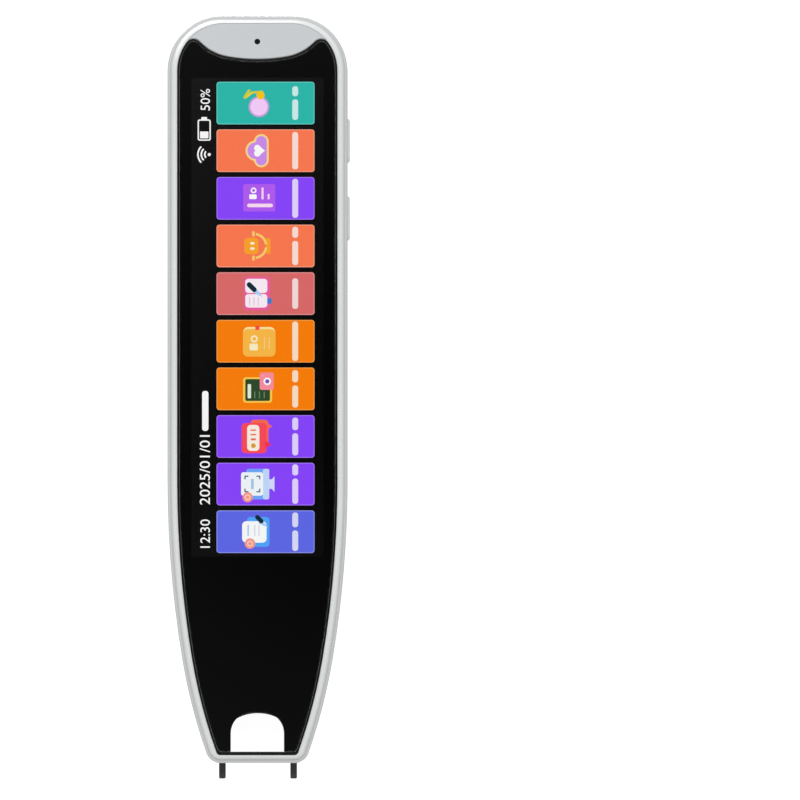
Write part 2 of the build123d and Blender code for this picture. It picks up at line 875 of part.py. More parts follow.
def display_flex():
    """Ribbon from the display's upper edge down to its socket on the main board."""
    y_edge = below_top(lcd_drop)
    z_glass = lcd_back - flex_gap - flex_thickness / 2
    z_socket = board_top + components["display_socket"][4] + flex_gap + flex_thickness / 2
    points = [
        (y_edge - display_flex_tuck, z_glass),
        (y_edge + display_flex_bulge, z_glass),
        (y_edge + display_flex_bulge, z_socket),
        (y_edge - display_flex_tuck, z_socket),
    ]
    return ribbon(points, -display_flex_half, display_flex_half)


def mid_frame():
    """Chassis plate between the display and the boards, with side rails up to the deck."""
    nib_inset = mid_frame_rise
    face = plan_face(mid_frame_inset, mid_frame_drop, nib_inset)
    frame = plate(face, mid_frame_back, mid_frame_front)
    rail_inner = display_opening_width / 2 + rail_gap
    rail_outer = inner_x - rail_wall_gap
    y0, y1 = below_top(rail_drop + rail_length / 2), below_top(rail_drop - rail_length / 2)
    frame += both_sides(block(rail_inner, rail_outer, y0, y1, mid_frame_back, deck_bottom - seat_gap))
    for x, y in case_screw_points():
        frame -= post(screw_hole_radius, x, y, mid_frame_back - clear, mid_frame_front + clear)
    lens_gap = lens_radius + 2 * seat_gap
    lens_front, lens_rear = above_nib(lens_rise), above_nib(lens_rise + lens_length)
    frame -= rod(lens_gap, 0, camera_z, lens_front - seat_gap, lens_rear + seat_gap)
    notch_half, notch_drop = mid_frame_notch
    frame -= block(-notch_half, notch_half, below_top(notch_drop), top_y, mid_frame_back - clear, deck_top)
    return largest(frame)


# ---- boards and electronics -------------------------------------------------------------------------------

socket_back = top_y - usb_recess - usb_length


def main_board():
    """Main circuit board, notched round the upper case bosses and the charging socket."""
    y1, y0 = (below_top(drop) for drop in board_drops)
    x0, x1 = board_left_margin - inner_x, inner_x - board_right_margin
    board = block(x0, x1, y0, y1, board_bottom, board_top)
    board &= plate(plan_face(wall + board_clearance), board_bottom - clear, board_top + clear)
    gap = boss_radius + boss_clearance
    for x, y in case_screw_points()[:2]:
        board -= post(gap, x, y, board_bottom - clear, board_top + clear)
        board -= block(x, 2 * x, y - gap, top_y, board_bottom - clear, board_top + clear)
    for x, y in board_screw_points():
        board -= post(board_screw_hole, x, y, board_bottom - clear, board_top + clear)
    half = usb_width / 2 + socket_clearance
    y0 = socket_back - socket_clearance
    board -= block(-half, half, y0, top_y, board_bottom - clear, board_top + clear)
    return largest(board)


def component(name):
    """A bevelled component on the main board's front side."""
    x, drop, width, length, height = components[name]
    y = below_top(drop)
    body = block(x - width / 2, x + width / 2, y - length / 2, y + length / 2, board_top, board_top + height)
    return chamfer(top_edges(body), component_bevel)


def processor_shield():
    """Folded tin can over the processor."""
    width, length, height = shield_size
    y1 = below_top(shield_drop)
    can = block(-width / 2, width / 2, y1 - length, y1, board_top, board_top + height)
    can = fillet(can.edges().filter_by(Axis.Z), 2 * shield_wall)
    can = fillet(top_edges(can), shield_wall)
    inner = width / 2 - shield_wall
    y0, y1 = y1 - length + shield_wall, y1 - shield_wall
    return can - block(-inner, inner, y0, y1, board_top - clear, board_top + height - shield_wall)


def usb_shell():
    """Pressed steel shell of the charging socket, open at its mouth, with tabs on the board."""
    y1 = socket_back + usb_length
    outer = pill_y(usb_width, usb_height, 0, usb_z, socket_back, y1)
    inner_size = (usb_width - 2 * usb_wall, usb_height - 2 * usb_wall)
    shell = outer - pill_y(*inner_size, 0, usb_z, socket_back + usb_back_wall, y1 + clear)
    side = usb_width / 2
    for place in usb_tab_places:
        y = socket_back + place
        y_end, tab_top = y + usb_tab_length, board_top + usb_tab_thickness
        shell += both_sides(block(side - usb_tab_root, side + usb_tab_reach, y, y_end, board_top, tab_top))
    return shell


def usb_tongue():
    """Contact tongue inside the charging socket."""
    half, thick = usb_tongue_width / 2, usb_tongue_thickness / 2
    y0, y1 = socket_back + usb_back_wall, socket_back + usb_length - usb_tongue_recess
    return block(-half, half, y0, y1, usb_z - thick, usb_z + thick)


def battery_cell():
    """Lithium pouch cell, held to the chassis by tape."""
    half = battery_width / 2
    y1 = below_top(battery_drop)
    cell = block(-half, half, y1 - battery_length, y1, battery_bottom, battery_top)
    return fillet(cell.edges().filter_by(Axis.Y), battery_edge)


def battery_tape():
    """Double-sided tape between the cell and the chassis."""
    half = battery_width / 2 - battery_tape_inset
    y1 = below_top(battery_drop + battery_tape_inset)
    y0 = y1 - battery_length + 2 * battery_tape_inset
    return block(-half, half, y0, y1, battery_top, battery_top + battery_tape_thickness)


def battery_board():
    """Protection board across the cell's upper end."""
    width, depth, height = battery_board_size
    y0 = below_top(battery_drop) + seat_gap
    return block(-width / 2, width / 2, y0, y0 + depth, battery_board_z, battery_board_z + height)


def battery_leads():
    """Red and black leads from the protection board to the plug on the main board."""
    y0 = below_top(battery_drop) + battery_board_size[1] + seat_gap
    high, low = lead_levels
    leads = []
    for x in lead_xs:
        upper = [(x, y0, high), (x, y0 + lead_run / 3, high)]
        lower = [(x, y0 + lead_run / 2, low), (x, y0 + lead_run, low)]
        leads.append(rounded(lead_radius, [*upper, *lower], lead_bend))
    return Compound(leads)


def battery_connector():
    """Plug and header for the battery leads, on the main board."""
    width, depth, height = plug_size
    x = sum(lead_xs) / 2
    y0 = below_top(battery_drop) + battery_board_size[1] + seat_gap + lead_run
    body = block(x - width / 2, x + width / 2, y0, y0 + depth, board_top, board_top + height)
    return chamfer(top_edges(body), 2 * component_bevel)


def speaker_frame():
    """Speaker basket with its vented back plate."""
    y = below_top(speaker_drop)
    frame = post(speaker_radius, 0, y, speaker_bottom, speaker_top)
    frame -= post(speaker_radius - speaker_rim, 0, y, speaker_bottom - clear, speaker_top - speaker_plate)
    for angle in range(0, 360, 60):
        vent = Rot(0, 0, angle) * Pos(speaker_vent_reach, 0, 0) * Cylinder(speaker_vent_radius, 2 * clear)
        frame -= Pos(0, y, speaker_top) * vent
    return frame


def speaker_magnet():
    """Speaker magnet and pole piece under the back plate."""
    top = speaker_top - speaker_plate
    return post(magnet_radius, 0, below_top(speaker_drop), top - magnet_thickness, top)


def speaker_cone():
    """Speaker diaphragm: a dome, a cone and a rolled surround."""
    lower = [(radius, speaker_bottom + cone_lift + height) for radius, height in cone_profile]
    upper = [(radius, height + cone_thickness) for radius, height in reversed(lower)]
    section = Plane.XZ * make_face(Polyline(*lower, *upper, close=True))
    return Pos(0, below_top(speaker_drop), 0) * revolve(section, Axis.Z)


def speaker_gasket():
    """Foam ring that seals the speaker to the shell."""
    y = below_top(speaker_drop)
    outer = speaker_radius - 2 * seat_gap
    ring = post(outer, 0, y, wall, speaker_bottom)
    return ring - post(outer - gasket_width, 0, y, wall - clear, speaker_bottom + clear)


def speaker_mesh():
    """Dust cloth behind the grille holes."""
    radius = speaker_radius - gasket_width - 4 * seat_gap
    bottom = wall + mesh_lift
    return post(radius, 0, below_top(speaker_drop), bottom, bottom + mesh_thickness)


def speaker_leads():
    """Two thin leads from the speaker to the main board's lower side."""
    leads = []
    for x in speaker_lead_xs:
        points = [(x, below_top(drop), speaker_top + height) for drop, height in speaker_lead_points]
        leads.append(rounded(speaker_lead_radius, points, speaker_lead_bend))
    return Compound(leads)


def microphone():
    """Microphone can under the deck."""
    width, length, height = mic_can
    y = below_top(mic_drop)
    top = deck_bottom - mic_boot_height
    return block(-width / 2, width / 2, y - length / 2, y + length / 2, top - height, top)


def mic_boot():
    """Rubber ring that seals the microphone to the deck."""
    y = below_top(mic_drop)
    boot = post(mic_boot_radius, 0, y, deck_bottom - mic_boot_height, deck_bottom)
    return boot - post(mic_boot_bore, 0, y, deck_bottom - clear, deck_bottom + clear)


def mic_flex():
    """Ribbon from the microphone down to the main board, beside the charging socket."""
    y = below_top(mic_drop)
    z = deck_bottom - mic_boot_height - mic_can[2] - flex_gap
    y_bend = below_top(mic_flex_bend_drop)
    z_board = board_top + mic_flex_lift
    points = [(y + mic_flex_tuck, z), (y_bend, z), (y_bend, z_board), (y_bend - mic_flex_tuck, z_board)]
    return ribbon(points, *mic_flex_span)


def wifi_antenna():
    """Foil antenna on the shell's inner wall."""
    x = antenna_gap - inner_x
    y1, y0 = (below_top(drop) for drop in antenna_drops)
    return block(x, x + antenna_thickness, y0, y1, antenna_z, mid_frame_back - antenna_thickness)


def antenna_cable():
    """Thin coaxial lead from the antenna to the radio module."""
    x0 = antenna_gap + antenna_thickness + coax_radius + seat_gap - inner_x
    points = [(x0 + inward, below_top(drop), z) for inward, drop, z in coax_points]
    return rounded(coax_radius, points, coax_bend)


# ---- side keys --------------------------------------------------------------------------------------------


def key_cap(drop):
    """A side key: proud pill, retaining flange and the nub that works the switch."""
    y = below_top(drop)
    cap = pill_x(key_length, key_width, y, key_z, flange_inner, half_width + key_proud)
    cap = fillet(cap.faces().sort_by(Axis.X)[-1].edges(), key_edge_radius)
    flange_size = (key_length + key_flange_margins[0], key_width + key_flange_margins[1])
    flange = pill_x(*flange_size, y, key_z, flange_inner, flange_outer)
    return cap + flange + pin(nub_radius, y, key_z, nub_end, flange_outer)


def key_switches():
    """The two identical switch bodies behind the keys, with their plunger bores."""
    bodies = []
    _, length, height = switch_size
    bore_radius = switch_plunger_radius + switch_bore_clearance
    bore_end = switch_front - switch_plunger_tail - key_travel - switch_bore_clearance
    for drop in key_drops.values():
        y = below_top(drop)
        y0, y1 = y - length / 2, y + length / 2
        body = block(switch_back, switch_front, y0, y1, key_z - height / 2, key_z + height / 2)
        bodies.append(body - pin(bore_radius, y, key_z, bore_end, switch_front + clear))
    return Compound(bodies)


def switch_plunger(drop):
    """Round plunger of a key's switch, in its bore."""
    inner_end = switch_front - switch_plunger_tail
    return pin(switch_plunger_radius, below_top(drop), key_z, inner_end, plunger_outer)


def key_board():
    """Small board that carries both key switches."""
    y0 = below_top(key_drops["function"] + key_board_margin)
    y1 = below_top(key_drops["power"] - key_board_margin)
    return block(key_board_back, switch_back, y0, y1, board_top + seat_gap / 2, key_board_top)


def key_bracket():
    """Pressed angle that fixes the key board to the main board."""
    y0 = below_top(key_drops["function"] + bracket_margin)
    y1 = below_top(key_drops["power"] - bracket_margin)
    back = key_board_back - seat_gap / 2
    upright = block(back - bracket_thickness, back, y0, y1, board_top, key_board_top - bracket_drop)
    foot = block(back - bracket_foot, back, y0, y1, board_top, board_top + bracket_thickness)
    return upright + foot


# ---- nib --------------------------------------------------------------------------------------------------


def nib_fork():
    """Moving fork: U-shaped rib whose two legs stand out past the nib, with its guide stems."""
    outer = u_face(fork_outer, fork_centre, fork_outer_crown, -fork_reach)
    inner = u_face(fork_inner, fork_centre, fork_inner_crown, -fork_reach - clear)
    fork = plate(outer - inner, fork_back, fork_back + fork_depth)
    tips = fork.faces().sort_by(Axis.Y)[:2]
    fork = fillet([edge for face in tips for edge in face.edges()], fork_tip_radius)
    stem = rod(stem_radius, stem_x, stem_z, above_nib(stem_root_rise), above_nib(stem_rise))
    return fork + both_sides(stem)


def hood_bores():
    """The stem holes, the camera's sight hole and window seat, and the lamp holes through the hood."""
    crown = fork_centre + fork_inner_crown
    seat = above_nib(crown + camera_window_thickness + camera_window_ledge)
    start, end = above_nib(crown - clear), above_nib(lens_rise)
    sight = camera_window_radius - camera_window_ledge
    return [
        both_sides(rod(stem_radius + stem_clearance, stem_x, stem_z, start, end)),
        rod(camera_window_radius, 0, camera_z, start, seat),
        rod(sight, 0, camera_z, start, end),
        both_sides(rod(led_hole_radius, led_x, camera_z, start - clear, end)),
    ]


def scan_hood():
    """Black hood that lines the nib opening, guides the fork and holds the camera window."""
    outline = u_face(cutout_half - hood_fit, cutout_centre, cutout_crown - hood_fit, hood_foot)
    front_hole = u_face(fork_inner, fork_centre, fork_inner_crown, -clear)
    travel_centre = fork_centre + nib_travel + hood_clearance / 2
    travel_crown = fork_outer_crown + hood_clearance
    travel_hole = u_face(fork_outer + hood_clearance, travel_centre, travel_crown, -clear)
    hood = plate(outline, 0, hood_front) & body_solid(hood_skin, split_height)
    hood -= plate(front_hole, 0, body_thickness)
    hood -= plate(travel_hole, -clear, hood_step)
    boss = rod(stem_boss_radius, stem_x, stem_z, above_nib(stem_boss_root), above_nib(stem_boss_rise))
    hood += both_sides(boss - plate(travel_hole, -clear, body_thickness))
    for bore in hood_bores():
        hood -= bore
    return largest(hood)


def camera_window():
    """Clear disc in front of the camera."""
    y1 = above_nib(fork_centre + fork_inner_crown + camera_window_thickness + camera_window_ledge)
    radius = camera_window_radius - camera_window_clearance
    return rod(radius, 0, camera_z, y1 - camera_window_thickness, y1)


def scan_lens():
    """Lens barrel, with a recessed front."""
    y0 = above_nib(lens_rise)
    barrel = rod(lens_radius, 0, camera_z, y0, y0 + lens_length)
    barrel = chamfer(barrel.faces().sort_by(Axis.Y)[0].edges(), lens_bevel)
    radius, depth = lens_recess
    return barrel - rod(radius, 0, camera_z, y0 - clear, y0 + depth)


def camera_holder():
    """Block that carries the lens over the image sensor."""
    y0 = above_nib(lens_rise + lens_length)
    top = mid_frame_back - seat_gap
    holder = block(-camera_half, camera_half, y0, y0 + camera_depth, camera_z - camera_below, top)
    return fillet(holder.edges().filter_by(Axis.Y), camera_corner)


def camera_board():
    """Image sensor board behind the holder."""
    y0 = above_nib(lens_rise + lens_length + camera_depth)
    top = mid_frame_back - seat_gap
    y1 = y0 + camera_board_thickness
    return block(-camera_board_half, camera_board_half, y0, y1, camera_z - camera_board_below, top)


def camera_flex():
    """Ribbon from the camera under the battery to the main board."""
    y0 = above_nib(lens_rise + lens_length + camera_depth) + camera_board_thickness + flex_gap
    y1 = below_top(board_drops[1] - camera_flex_lap)
    over_board = nib_board_bottom + nib_board_size[2] + flex_gap / 2 + flex_thickness / 2
    z = max(battery_bottom - camera_flex_drop, over_board)
    points = [(y0, camera_flex_top), (y0, z), (y1, z), (y1, board_bottom - 2 * seat_gap)]
    return ribbon(points, *camera_flex_span)


def scan_leds():
    """Two lamps that light the paper, behind holes in the hood."""
    width, depth, height = led_size
    y0 = above_nib(led_rise)
    z0 = camera_z - height / 2 + led_lift
    return both_sides(block(led_x - width / 2, led_x + width / 2, y0, y0 + depth, z0, z0 + height))


def led_board():
    """Strip that carries the two lamps either side of the lens."""
    width, depth, height = led_board_size
    y0 = above_nib(led_rise) + led_size[1] + seat_gap / 2
    z0 = camera_z - led_board_below
    strip = block(-width / 2, width / 2, y0, y0 + depth, z0, z0 + height)
    return strip - rod(led_board_hole, 0, camera_z, y0 - clear, y0 + depth + clear)


def nib_clips():
    """Snap rings that hold the fork's stems in the hood."""
    y0 = above_nib(stem_boss_rise + seat_gap)
    ring = rod(clip_radius, stem_x, stem_z, y0, y0 + clip_thickness)
    bore = stem_radius + clip_bore_clearance
    return both_sides(ring - rod(bore, stem_x, stem_z, y0 - clear, y0 + clip_thickness + clear))


def nib_springs():
    """Two coil springs on the fork's stems, between their snap rings and the guide."""
    length = guide_rise - spring_rise - 2 * (spring_wire_radius + spring_end_gap)
    helix = Helix(pitch=length / spring_turns, height=length, radius=spring_coil_radius)
    section = Plane(origin=helix @ 0, z_dir=helix % 0) * Circle(spring_wire_radius)
    coil = sweep(section, path=helix, is_frenet=True)
    start = above_nib(spring_rise) + spring_wire_radius + spring_end_gap
    return Compound([Pos(side * stem_x, start, stem_z) * Rot(-90, 0, 0) * coil for side in (1, -1)])


def nib_guide():
    """Fixed guide for the stems' upper ends, which the springs push against."""
    y0, y1 = above_nib(guide_rise), above_nib(guide_rise + guide_depth)
    guide = block(-guide_half, guide_half, y0, y1, floor_at(y0) + 2 * seat_gap, guide_top)
    notch = Pos(0, (y0 + y1) / 2) * Rectangle(2 * guide_notch_half, 2 * guide_depth)
    guide -= plate(notch, guide_notch_floor, guide_top)
    bore = stem_radius + stem_clearance
    return guide - both_sides(rod(bore, stem_x, stem_z, y0 - clear, y1 + clear))


nib_board_y = above_nib(stem_rise + switch_gap + nib_plunger_stand - nib_board_lead)
nib_board_bottom = floor_at(nib_board_y) + 2 * seat_gap


def nib_board():
    """Small board on the shell's floor that carries the detector switch."""
    width, length, thickness = nib_board_size
    x0 = nib_board_offset - width / 2
    top = nib_board_bottom + thickness
    return block(x0, x0 + width, nib_board_y, nib_board_y + length, nib_board_bottom, top)


def nib_switch():
    """Detector switch that the right stem works, with its plunger bore."""
    width, length, height = nib_switch_size
    y0 = above_nib(stem_rise + switch_gap + nib_plunger_stand)
    z0 = nib_board_bottom + nib_board_size[2]
    body = block(stem_x - width / 2, stem_x + width / 2, y0, y0 + length, z0, z0 + height)
    clearance, depth = nib_plunger_bore
    return body - rod(nib_plunger_radius + clearance, stem_x, stem_z, y0 - clear, y0 + depth)


def nib_switch_plunger():
    """Plunger of the detector switch, just clear of the stem."""
    y0 = above_nib(stem_rise + switch_gap)
    return rod(nib_plunger_radius, stem_x, stem_z, y0, y0 + nib_plunger_length)


# ---- fasteners --------------------------------------------------------------------------------------------


def screw(x, y, head_top, head_radius, head_height, shaft_radius, length):
    """A pan-head screw along Z with a cross recess, its shaft drawn without thread."""
    head_bottom = head_top - head_height
    head = fillet(top_edges(post(head_radius, x, y, head_bottom, head_top)), head_height / 3)
    shaft = post(shaft_radius, x, y, head_bottom - length, head_bottom)
    recess_depth = head_height * recess_share
    arm, blade = head_radius * recess_arm, head_radius * recess_blade
    recess = Box(arm, blade, recess_depth) + Box(blade, arm, recess_depth)
    return head + shaft - Pos(x, y, head_top - recess_depth / 2) * recess


def case_screws():
    """Screws through the deck into the shell's bosses, hidden by the glass and the crescent panel."""
    top = deck_top - head_pocket_depth + screw_head_height
    sizes = (top, screw_head_radius, screw_head_height, screw_shaft_radius, screw_length)
    return Compound([screw(x, y, *sizes) for x, y in case_screw_points()])


def board_screws():
    """Screws that hold the main board on its bosses."""
    top = board_top + board_screw_head_height
    sizes = (top, board_screw_head, board_screw_head_height, board_screw_shaft, board_screw_length)
    return Compound([screw(x, y, *sizes) for x, y in board_screw_points()])


# ---- export -----------------------------------------------------------------------------------------------

pieces = {
    "rear_shell": rear_shell,
    "front_frame": front_frame,
    "top_panel": top_panel,
    "bezel_ring": bezel_ring,
    "cover_glass": cover_glass,
    "glass_mask": glass_mask,
    "glass_tape": glass_tape,
    "lcd_cell": lcd_cell,
    "lcd_backlight": lcd_backlight,
    "display_flex": display_flex,
    "mid_frame": mid_frame,
    "main_board": main_board,
    "processor_shield": processor_shield,
    "usb_shell": usb_shell,
    "usb_tongue": usb_tongue,
    "battery_cell": battery_cell,
    "battery_tape": battery_tape,
    "battery_board": battery_board,
    "battery_leads": battery_leads,
    "battery_connector": battery_connector,
    "speaker_frame": speaker_frame,
    "speaker_magnet": speaker_magnet,
    "speaker_cone": speaker_cone,
    "speaker_gasket": speaker_gasket,
    "speaker_mesh": speaker_mesh,
    "speaker_leads": speaker_leads,
    "microphone": microphone,
    "mic_boot": mic_boot,
    "mic_flex": mic_flex,
    "wifi_antenna": wifi_antenna,
    "antenna_cable": antenna_cable,
    "key_switches": key_switches,
    "key_board": key_board,
    "key_bracket": key_bracket,
    "nib_fork": nib_fork,
    "nib_clips": nib_clips,
    "nib_springs": nib_springs,
    "nib_guide": nib_guide,
    "nib_switch": nib_switch,
    "nib_switch_plunger": nib_switch_plunger,
    "nib_board": nib_board,
    "scan_hood": scan_hood,
    "camera_window": camera_window,
    "scan_lens": scan_lens,
    "camera_holder": camera_holder,
    "camera_board": camera_board,
    "camera_flex": camera_flex,
    "scan_leds": scan_leds,
    "led_board": led_board,
    "case_screws": case_screws,
    "board_screws": board_screws,
}


def export_all():
    """Write one STEP file per piece into parts/."""
    os.makedirs("parts", exist_ok=True)
    for name, make in pieces.items():
        export_step(make(), f"parts/{name}.step")
    for name in components:
        export_step(component(name), f"parts/{name}.step")
    for name, drop in key_drops.items():
        export_step(key_cap(drop), f"parts/{name}_key.step")
        export_step(switch_plunger(drop), f"parts/{name}_switch_plunger.step")


if __name__ == "__main__":
    export_all()
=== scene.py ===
import math

import bmesh
import bpy
from mathutils import Matrix, Vector


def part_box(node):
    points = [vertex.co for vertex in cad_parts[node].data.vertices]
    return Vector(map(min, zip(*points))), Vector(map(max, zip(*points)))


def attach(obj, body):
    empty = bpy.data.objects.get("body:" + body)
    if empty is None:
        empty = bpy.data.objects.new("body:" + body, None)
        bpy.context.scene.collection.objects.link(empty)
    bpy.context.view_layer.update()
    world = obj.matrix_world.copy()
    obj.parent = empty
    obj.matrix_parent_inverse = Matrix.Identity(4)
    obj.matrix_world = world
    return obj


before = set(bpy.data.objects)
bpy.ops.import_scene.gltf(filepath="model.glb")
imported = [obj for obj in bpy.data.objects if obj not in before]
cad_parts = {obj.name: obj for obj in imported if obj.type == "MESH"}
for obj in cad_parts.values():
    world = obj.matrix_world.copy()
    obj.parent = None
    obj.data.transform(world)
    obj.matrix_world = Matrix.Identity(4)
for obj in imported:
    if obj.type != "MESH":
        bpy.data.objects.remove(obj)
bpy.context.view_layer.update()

# A scanning translator pen lying on its back: +Z points out of the glass, +Y to the microphone end and +X to
# the keys. Meshes are drawn in millimetres and scaled to metres when they become a piece.

MM = 0.001
X, Y, Z = 0, 1, 2

# ---- camera and room --------------------------------------------------------------------------------------

lens_length = 400.0
sensor_width = 36.0
view_width = 152.3  # millimetres of the rim's plane across the picture
view_centre = (27.1, -2.02)
rim_plane = 9.0
floor_size = 8.0  # metres
floor_drop = 0.0001  # metres below the pen, so that the two faces never coincide
floor_glow = 0.93  # light of its own, as a lit table has, so that shadows stay soft
floor_shade = 0.3  # share of the room's light that it throws back


def camera_above():
    """A long lens straight above the pen, as far off as the wanted width needs."""
    data = bpy.data.cameras.new("copy_stand")
    data.lens = lens_length
    data.sensor_width = sensor_width
    data.clip_start = 0.01
    camera = bpy.data.objects.new("copy_stand", data)
    height = rim_plane + view_width * lens_length / sensor_width
    camera.location = (view_centre[X] * MM, view_centre[Y] * MM, height * MM)
    bpy.context.scene.collection.objects.link(camera)
    bpy.context.scene.camera = camera


def soft_light(name, place, aim, size, power):
    """A rectangular softbox, in metres and watts, that faces a point."""
    data = bpy.data.lights.new(name, "AREA")
    data.shape = "RECTANGLE"
    data.size, data.size_y = size
    data.energy = power
    lamp = bpy.data.objects.new(name, data)
    lamp.location = place
    lamp.rotation_euler = (Vector(aim) - Vector(place)).to_track_quat("-Z", "Y").to_euler()
    bpy.context.scene.collection.objects.link(lamp)


def node(tree, kind, inputs=None, **settings):
    """A new node with its settings, and with a value or a link for each named input."""
    made = tree.nodes.new(kind)
    for name, value in settings.items():
        setattr(made, name, value)
    for socket, value in (inputs or {}).items():
        if isinstance(value, bpy.types.NodeSocket):
            tree.links.new(value, made.inputs[socket])
        else:
            made.inputs[socket].default_value = value
    return made


def sums(tree, operation, *values):
    """The result of one sum on numbers or sockets."""
    return node(tree, "ShaderNodeMath", dict(enumerate(values)), operation=operation).outputs[0]


def product(tree, first, *others):
    """Numbers or sockets multiplied together."""
    for other in others:
        first = sums(tree, "MULTIPLY", first, other)
    return first


def axes_of(tree, place):
    """The X, Y and Z of a place."""
    return node(tree, "ShaderNodeSeparateXYZ", {0: place}).outputs


def length_of(tree, x, y):
    """The straight length of two sides at a right angle."""
    return sums(tree, "SQRT", sums(tree, "ADD", product(tree, x, x), product(tree, y, y)))


def spread(tree, value, start, end, low=0.0, high=1.0):
    """A value eased from one range to another, and held at its ends."""
    inputs = {"Value": value, "From Min": start, "From Max": end, "To Min": low, "To Max": high}
    return node(tree, "ShaderNodeMapRange", inputs, interpolation_type="SMOOTHSTEP").outputs[0]


MIX_A, MIX_B, MIX_RESULT = 6, 7, 2


def tinted(tree, factor, first, second, blend="MIX"):
    """One colour laid over another by a factor."""
    inputs = {0: factor, MIX_A: first, MIX_B: second}
    made = node(tree, "ShaderNodeMix", inputs, data_type="RGBA", blend_type=blend)
    return made.outputs[MIX_RESULT]


room_brightness = 0.8528
# Height of the direction and its light: white walls, a grey horizon and a dark flag above the glass.
room_levels = [
    (-1.0, 0.53), (-0.9, 0.54), (-0.7, 0.56), (-0.45, 0.86), (-0.15, 0.84), (0.0, 0.36), (0.3, 0.32),
    (0.55, 0.75), (0.8, 0.9), (0.92, 1.0), (0.9945, 1.0), (0.9985, 0.04), (1.0, 0.04),
]
room_lean = 0.65  # how much brighter the room is beyond the microphone end
room_paper = 0.98  # what a camera sees behind the pen


def studio_room():
    """White walls all round, with a dark flag straight above so that the glass stays black."""
    world = bpy.data.worlds.new("studio_room")
    world.use_nodes = True
    tree = world.node_tree
    way = node(tree, "ShaderNodeTexCoord").outputs["Generated"]
    axes = axes_of(tree, way)
    ramp = node(tree, "ShaderNodeValToRGB", {0: sums(tree, "MULTIPLY_ADD", axes[Z], 0.5, 0.5)})
    stops = ramp.color_ramp.elements
    for height, light in room_levels[1:-1]:
        stops.new((height + 1) / 2).color = (light, light, light, 1.0)
    stops[0].color = (room_levels[0][1],) * 3 + (1.0,)
    stops[-1].color = (room_levels[-1][1],) * 3 + (1.0,)
    lean = product(tree, spread(tree, axes[Y], 0.0, 0.9), spread(tree, axes[Z], -0.1, 0.3))
    lean = sums(tree, "MULTIPLY_ADD", lean, room_lean, 1.0)
    level = product(tree, ramp.outputs[0], lean, room_brightness)
    seen = node(tree, "ShaderNodeLightPath").outputs["Is Camera Ray"]
    paper = (room_paper, room_paper, room_paper, 1.0)
    tree.links.new(tinted(tree, seen, level, paper), tree.nodes["Background"].inputs["Color"])
    bpy.context.scene.world = world


def studio_floor():
    """A pale floor that only a camera above it sees, so that light from below reaches the pen's back."""
    mesh = bpy.data.meshes.new("studio_floor")
    flat = bmesh.new()
    bmesh.ops.create_grid(flat, x_segments=1, y_segments=1, size=floor_size / 2)
    bmesh.ops.translate(flat, verts=flat.verts, vec=(0, 0, -floor_drop))
    flat.to_mesh(mesh)
    flat.free()
    material = bpy.data.materials.new("floor_paper")
    material.use_nodes = True
    tree = material.node_tree
    shader = tree.nodes["Principled BSDF"]
    place = node(tree, "ShaderNodeTexCoord").outputs["Object"]
    mottle = node(tree, "ShaderNodeTexNoise", {"Vector": place, "Scale": 40.0, "Detail": 3.0}).outputs[0]
    paper = tinted(tree, mottle, srgb("fbfbfb"), srgb("ffffff"))
    tree.links.new(tinted(tree, floor_shade, srgb("000000"), paper), shader.inputs["Base Color"])
    shader.inputs["Roughness"].default_value = 0.9
    shader.inputs["Specular IOR Level"].default_value = 0.0
    seen = node(tree, "ShaderNodeLightPath").outputs["Is Camera Ray"]
    behind = node(tree, "ShaderNodeNewGeometry").outputs["Backfacing"]
    shader.inputs["Emission Strength"].default_value = floor_glow
    tree.links.new(paper, shader.inputs["Emission Color"])
    shown = product(tree, seen, sums(tree, "SUBTRACT", 1.0, behind))
    clear = node(tree, "ShaderNodeBsdfTransparent").outputs[0]
    mixed = node(tree, "ShaderNodeMixShader", {0: shown, 1: clear, 2: shader.outputs[0]}).outputs[0]
    tree.links.new(mixed, tree.nodes["Material Output"].inputs["Surface"])
    mesh.materials.append(material)
    floor = bpy.data.objects.new("studio_floor", mesh)
    bpy.context.scene.collection.objects.link(floor)


def srgb(code, alpha=1.0):
    """A linear colour from a six-figure screen colour."""
    parts = [int(code[i : i + 2], 16) / 255 for i in (0, 2, 4)]
    linear = [p / 12.92 if p <= 0.04045 else ((p + 0.055) / 1.055) ** 2.4 for p in parts]
    return (*linear, alpha)


# ---- effects that several finishes share ------------------------------------------------------------------

NUMBER, POINT = "NodeSocketFloat", "NodeSocketVector"


def effect(name, inputs, outputs):
    """An empty effect with named sockets; gives the effect, its inner inputs and its inner outputs."""
    group = bpy.data.node_groups.new(name, "ShaderNodeTree")
    for label, kind in inputs.items():
        group.interface.new_socket(label, in_out="INPUT", socket_type=kind)
    for label, kind in outputs.items():
        group.interface.new_socket(label, in_out="OUTPUT", socket_type=kind)
    entry = group.nodes.new("NodeGroupInput").outputs
    leave = group.nodes.new("NodeGroupOutput").inputs
    return group, entry, leave


def scaled(tree, place, factor):
    """A place multiplied by a number."""
    inputs = {0: place, "Scale": factor}
    return node(tree, "ShaderNodeVectorMath", inputs, operation="SCALE").outputs[0]


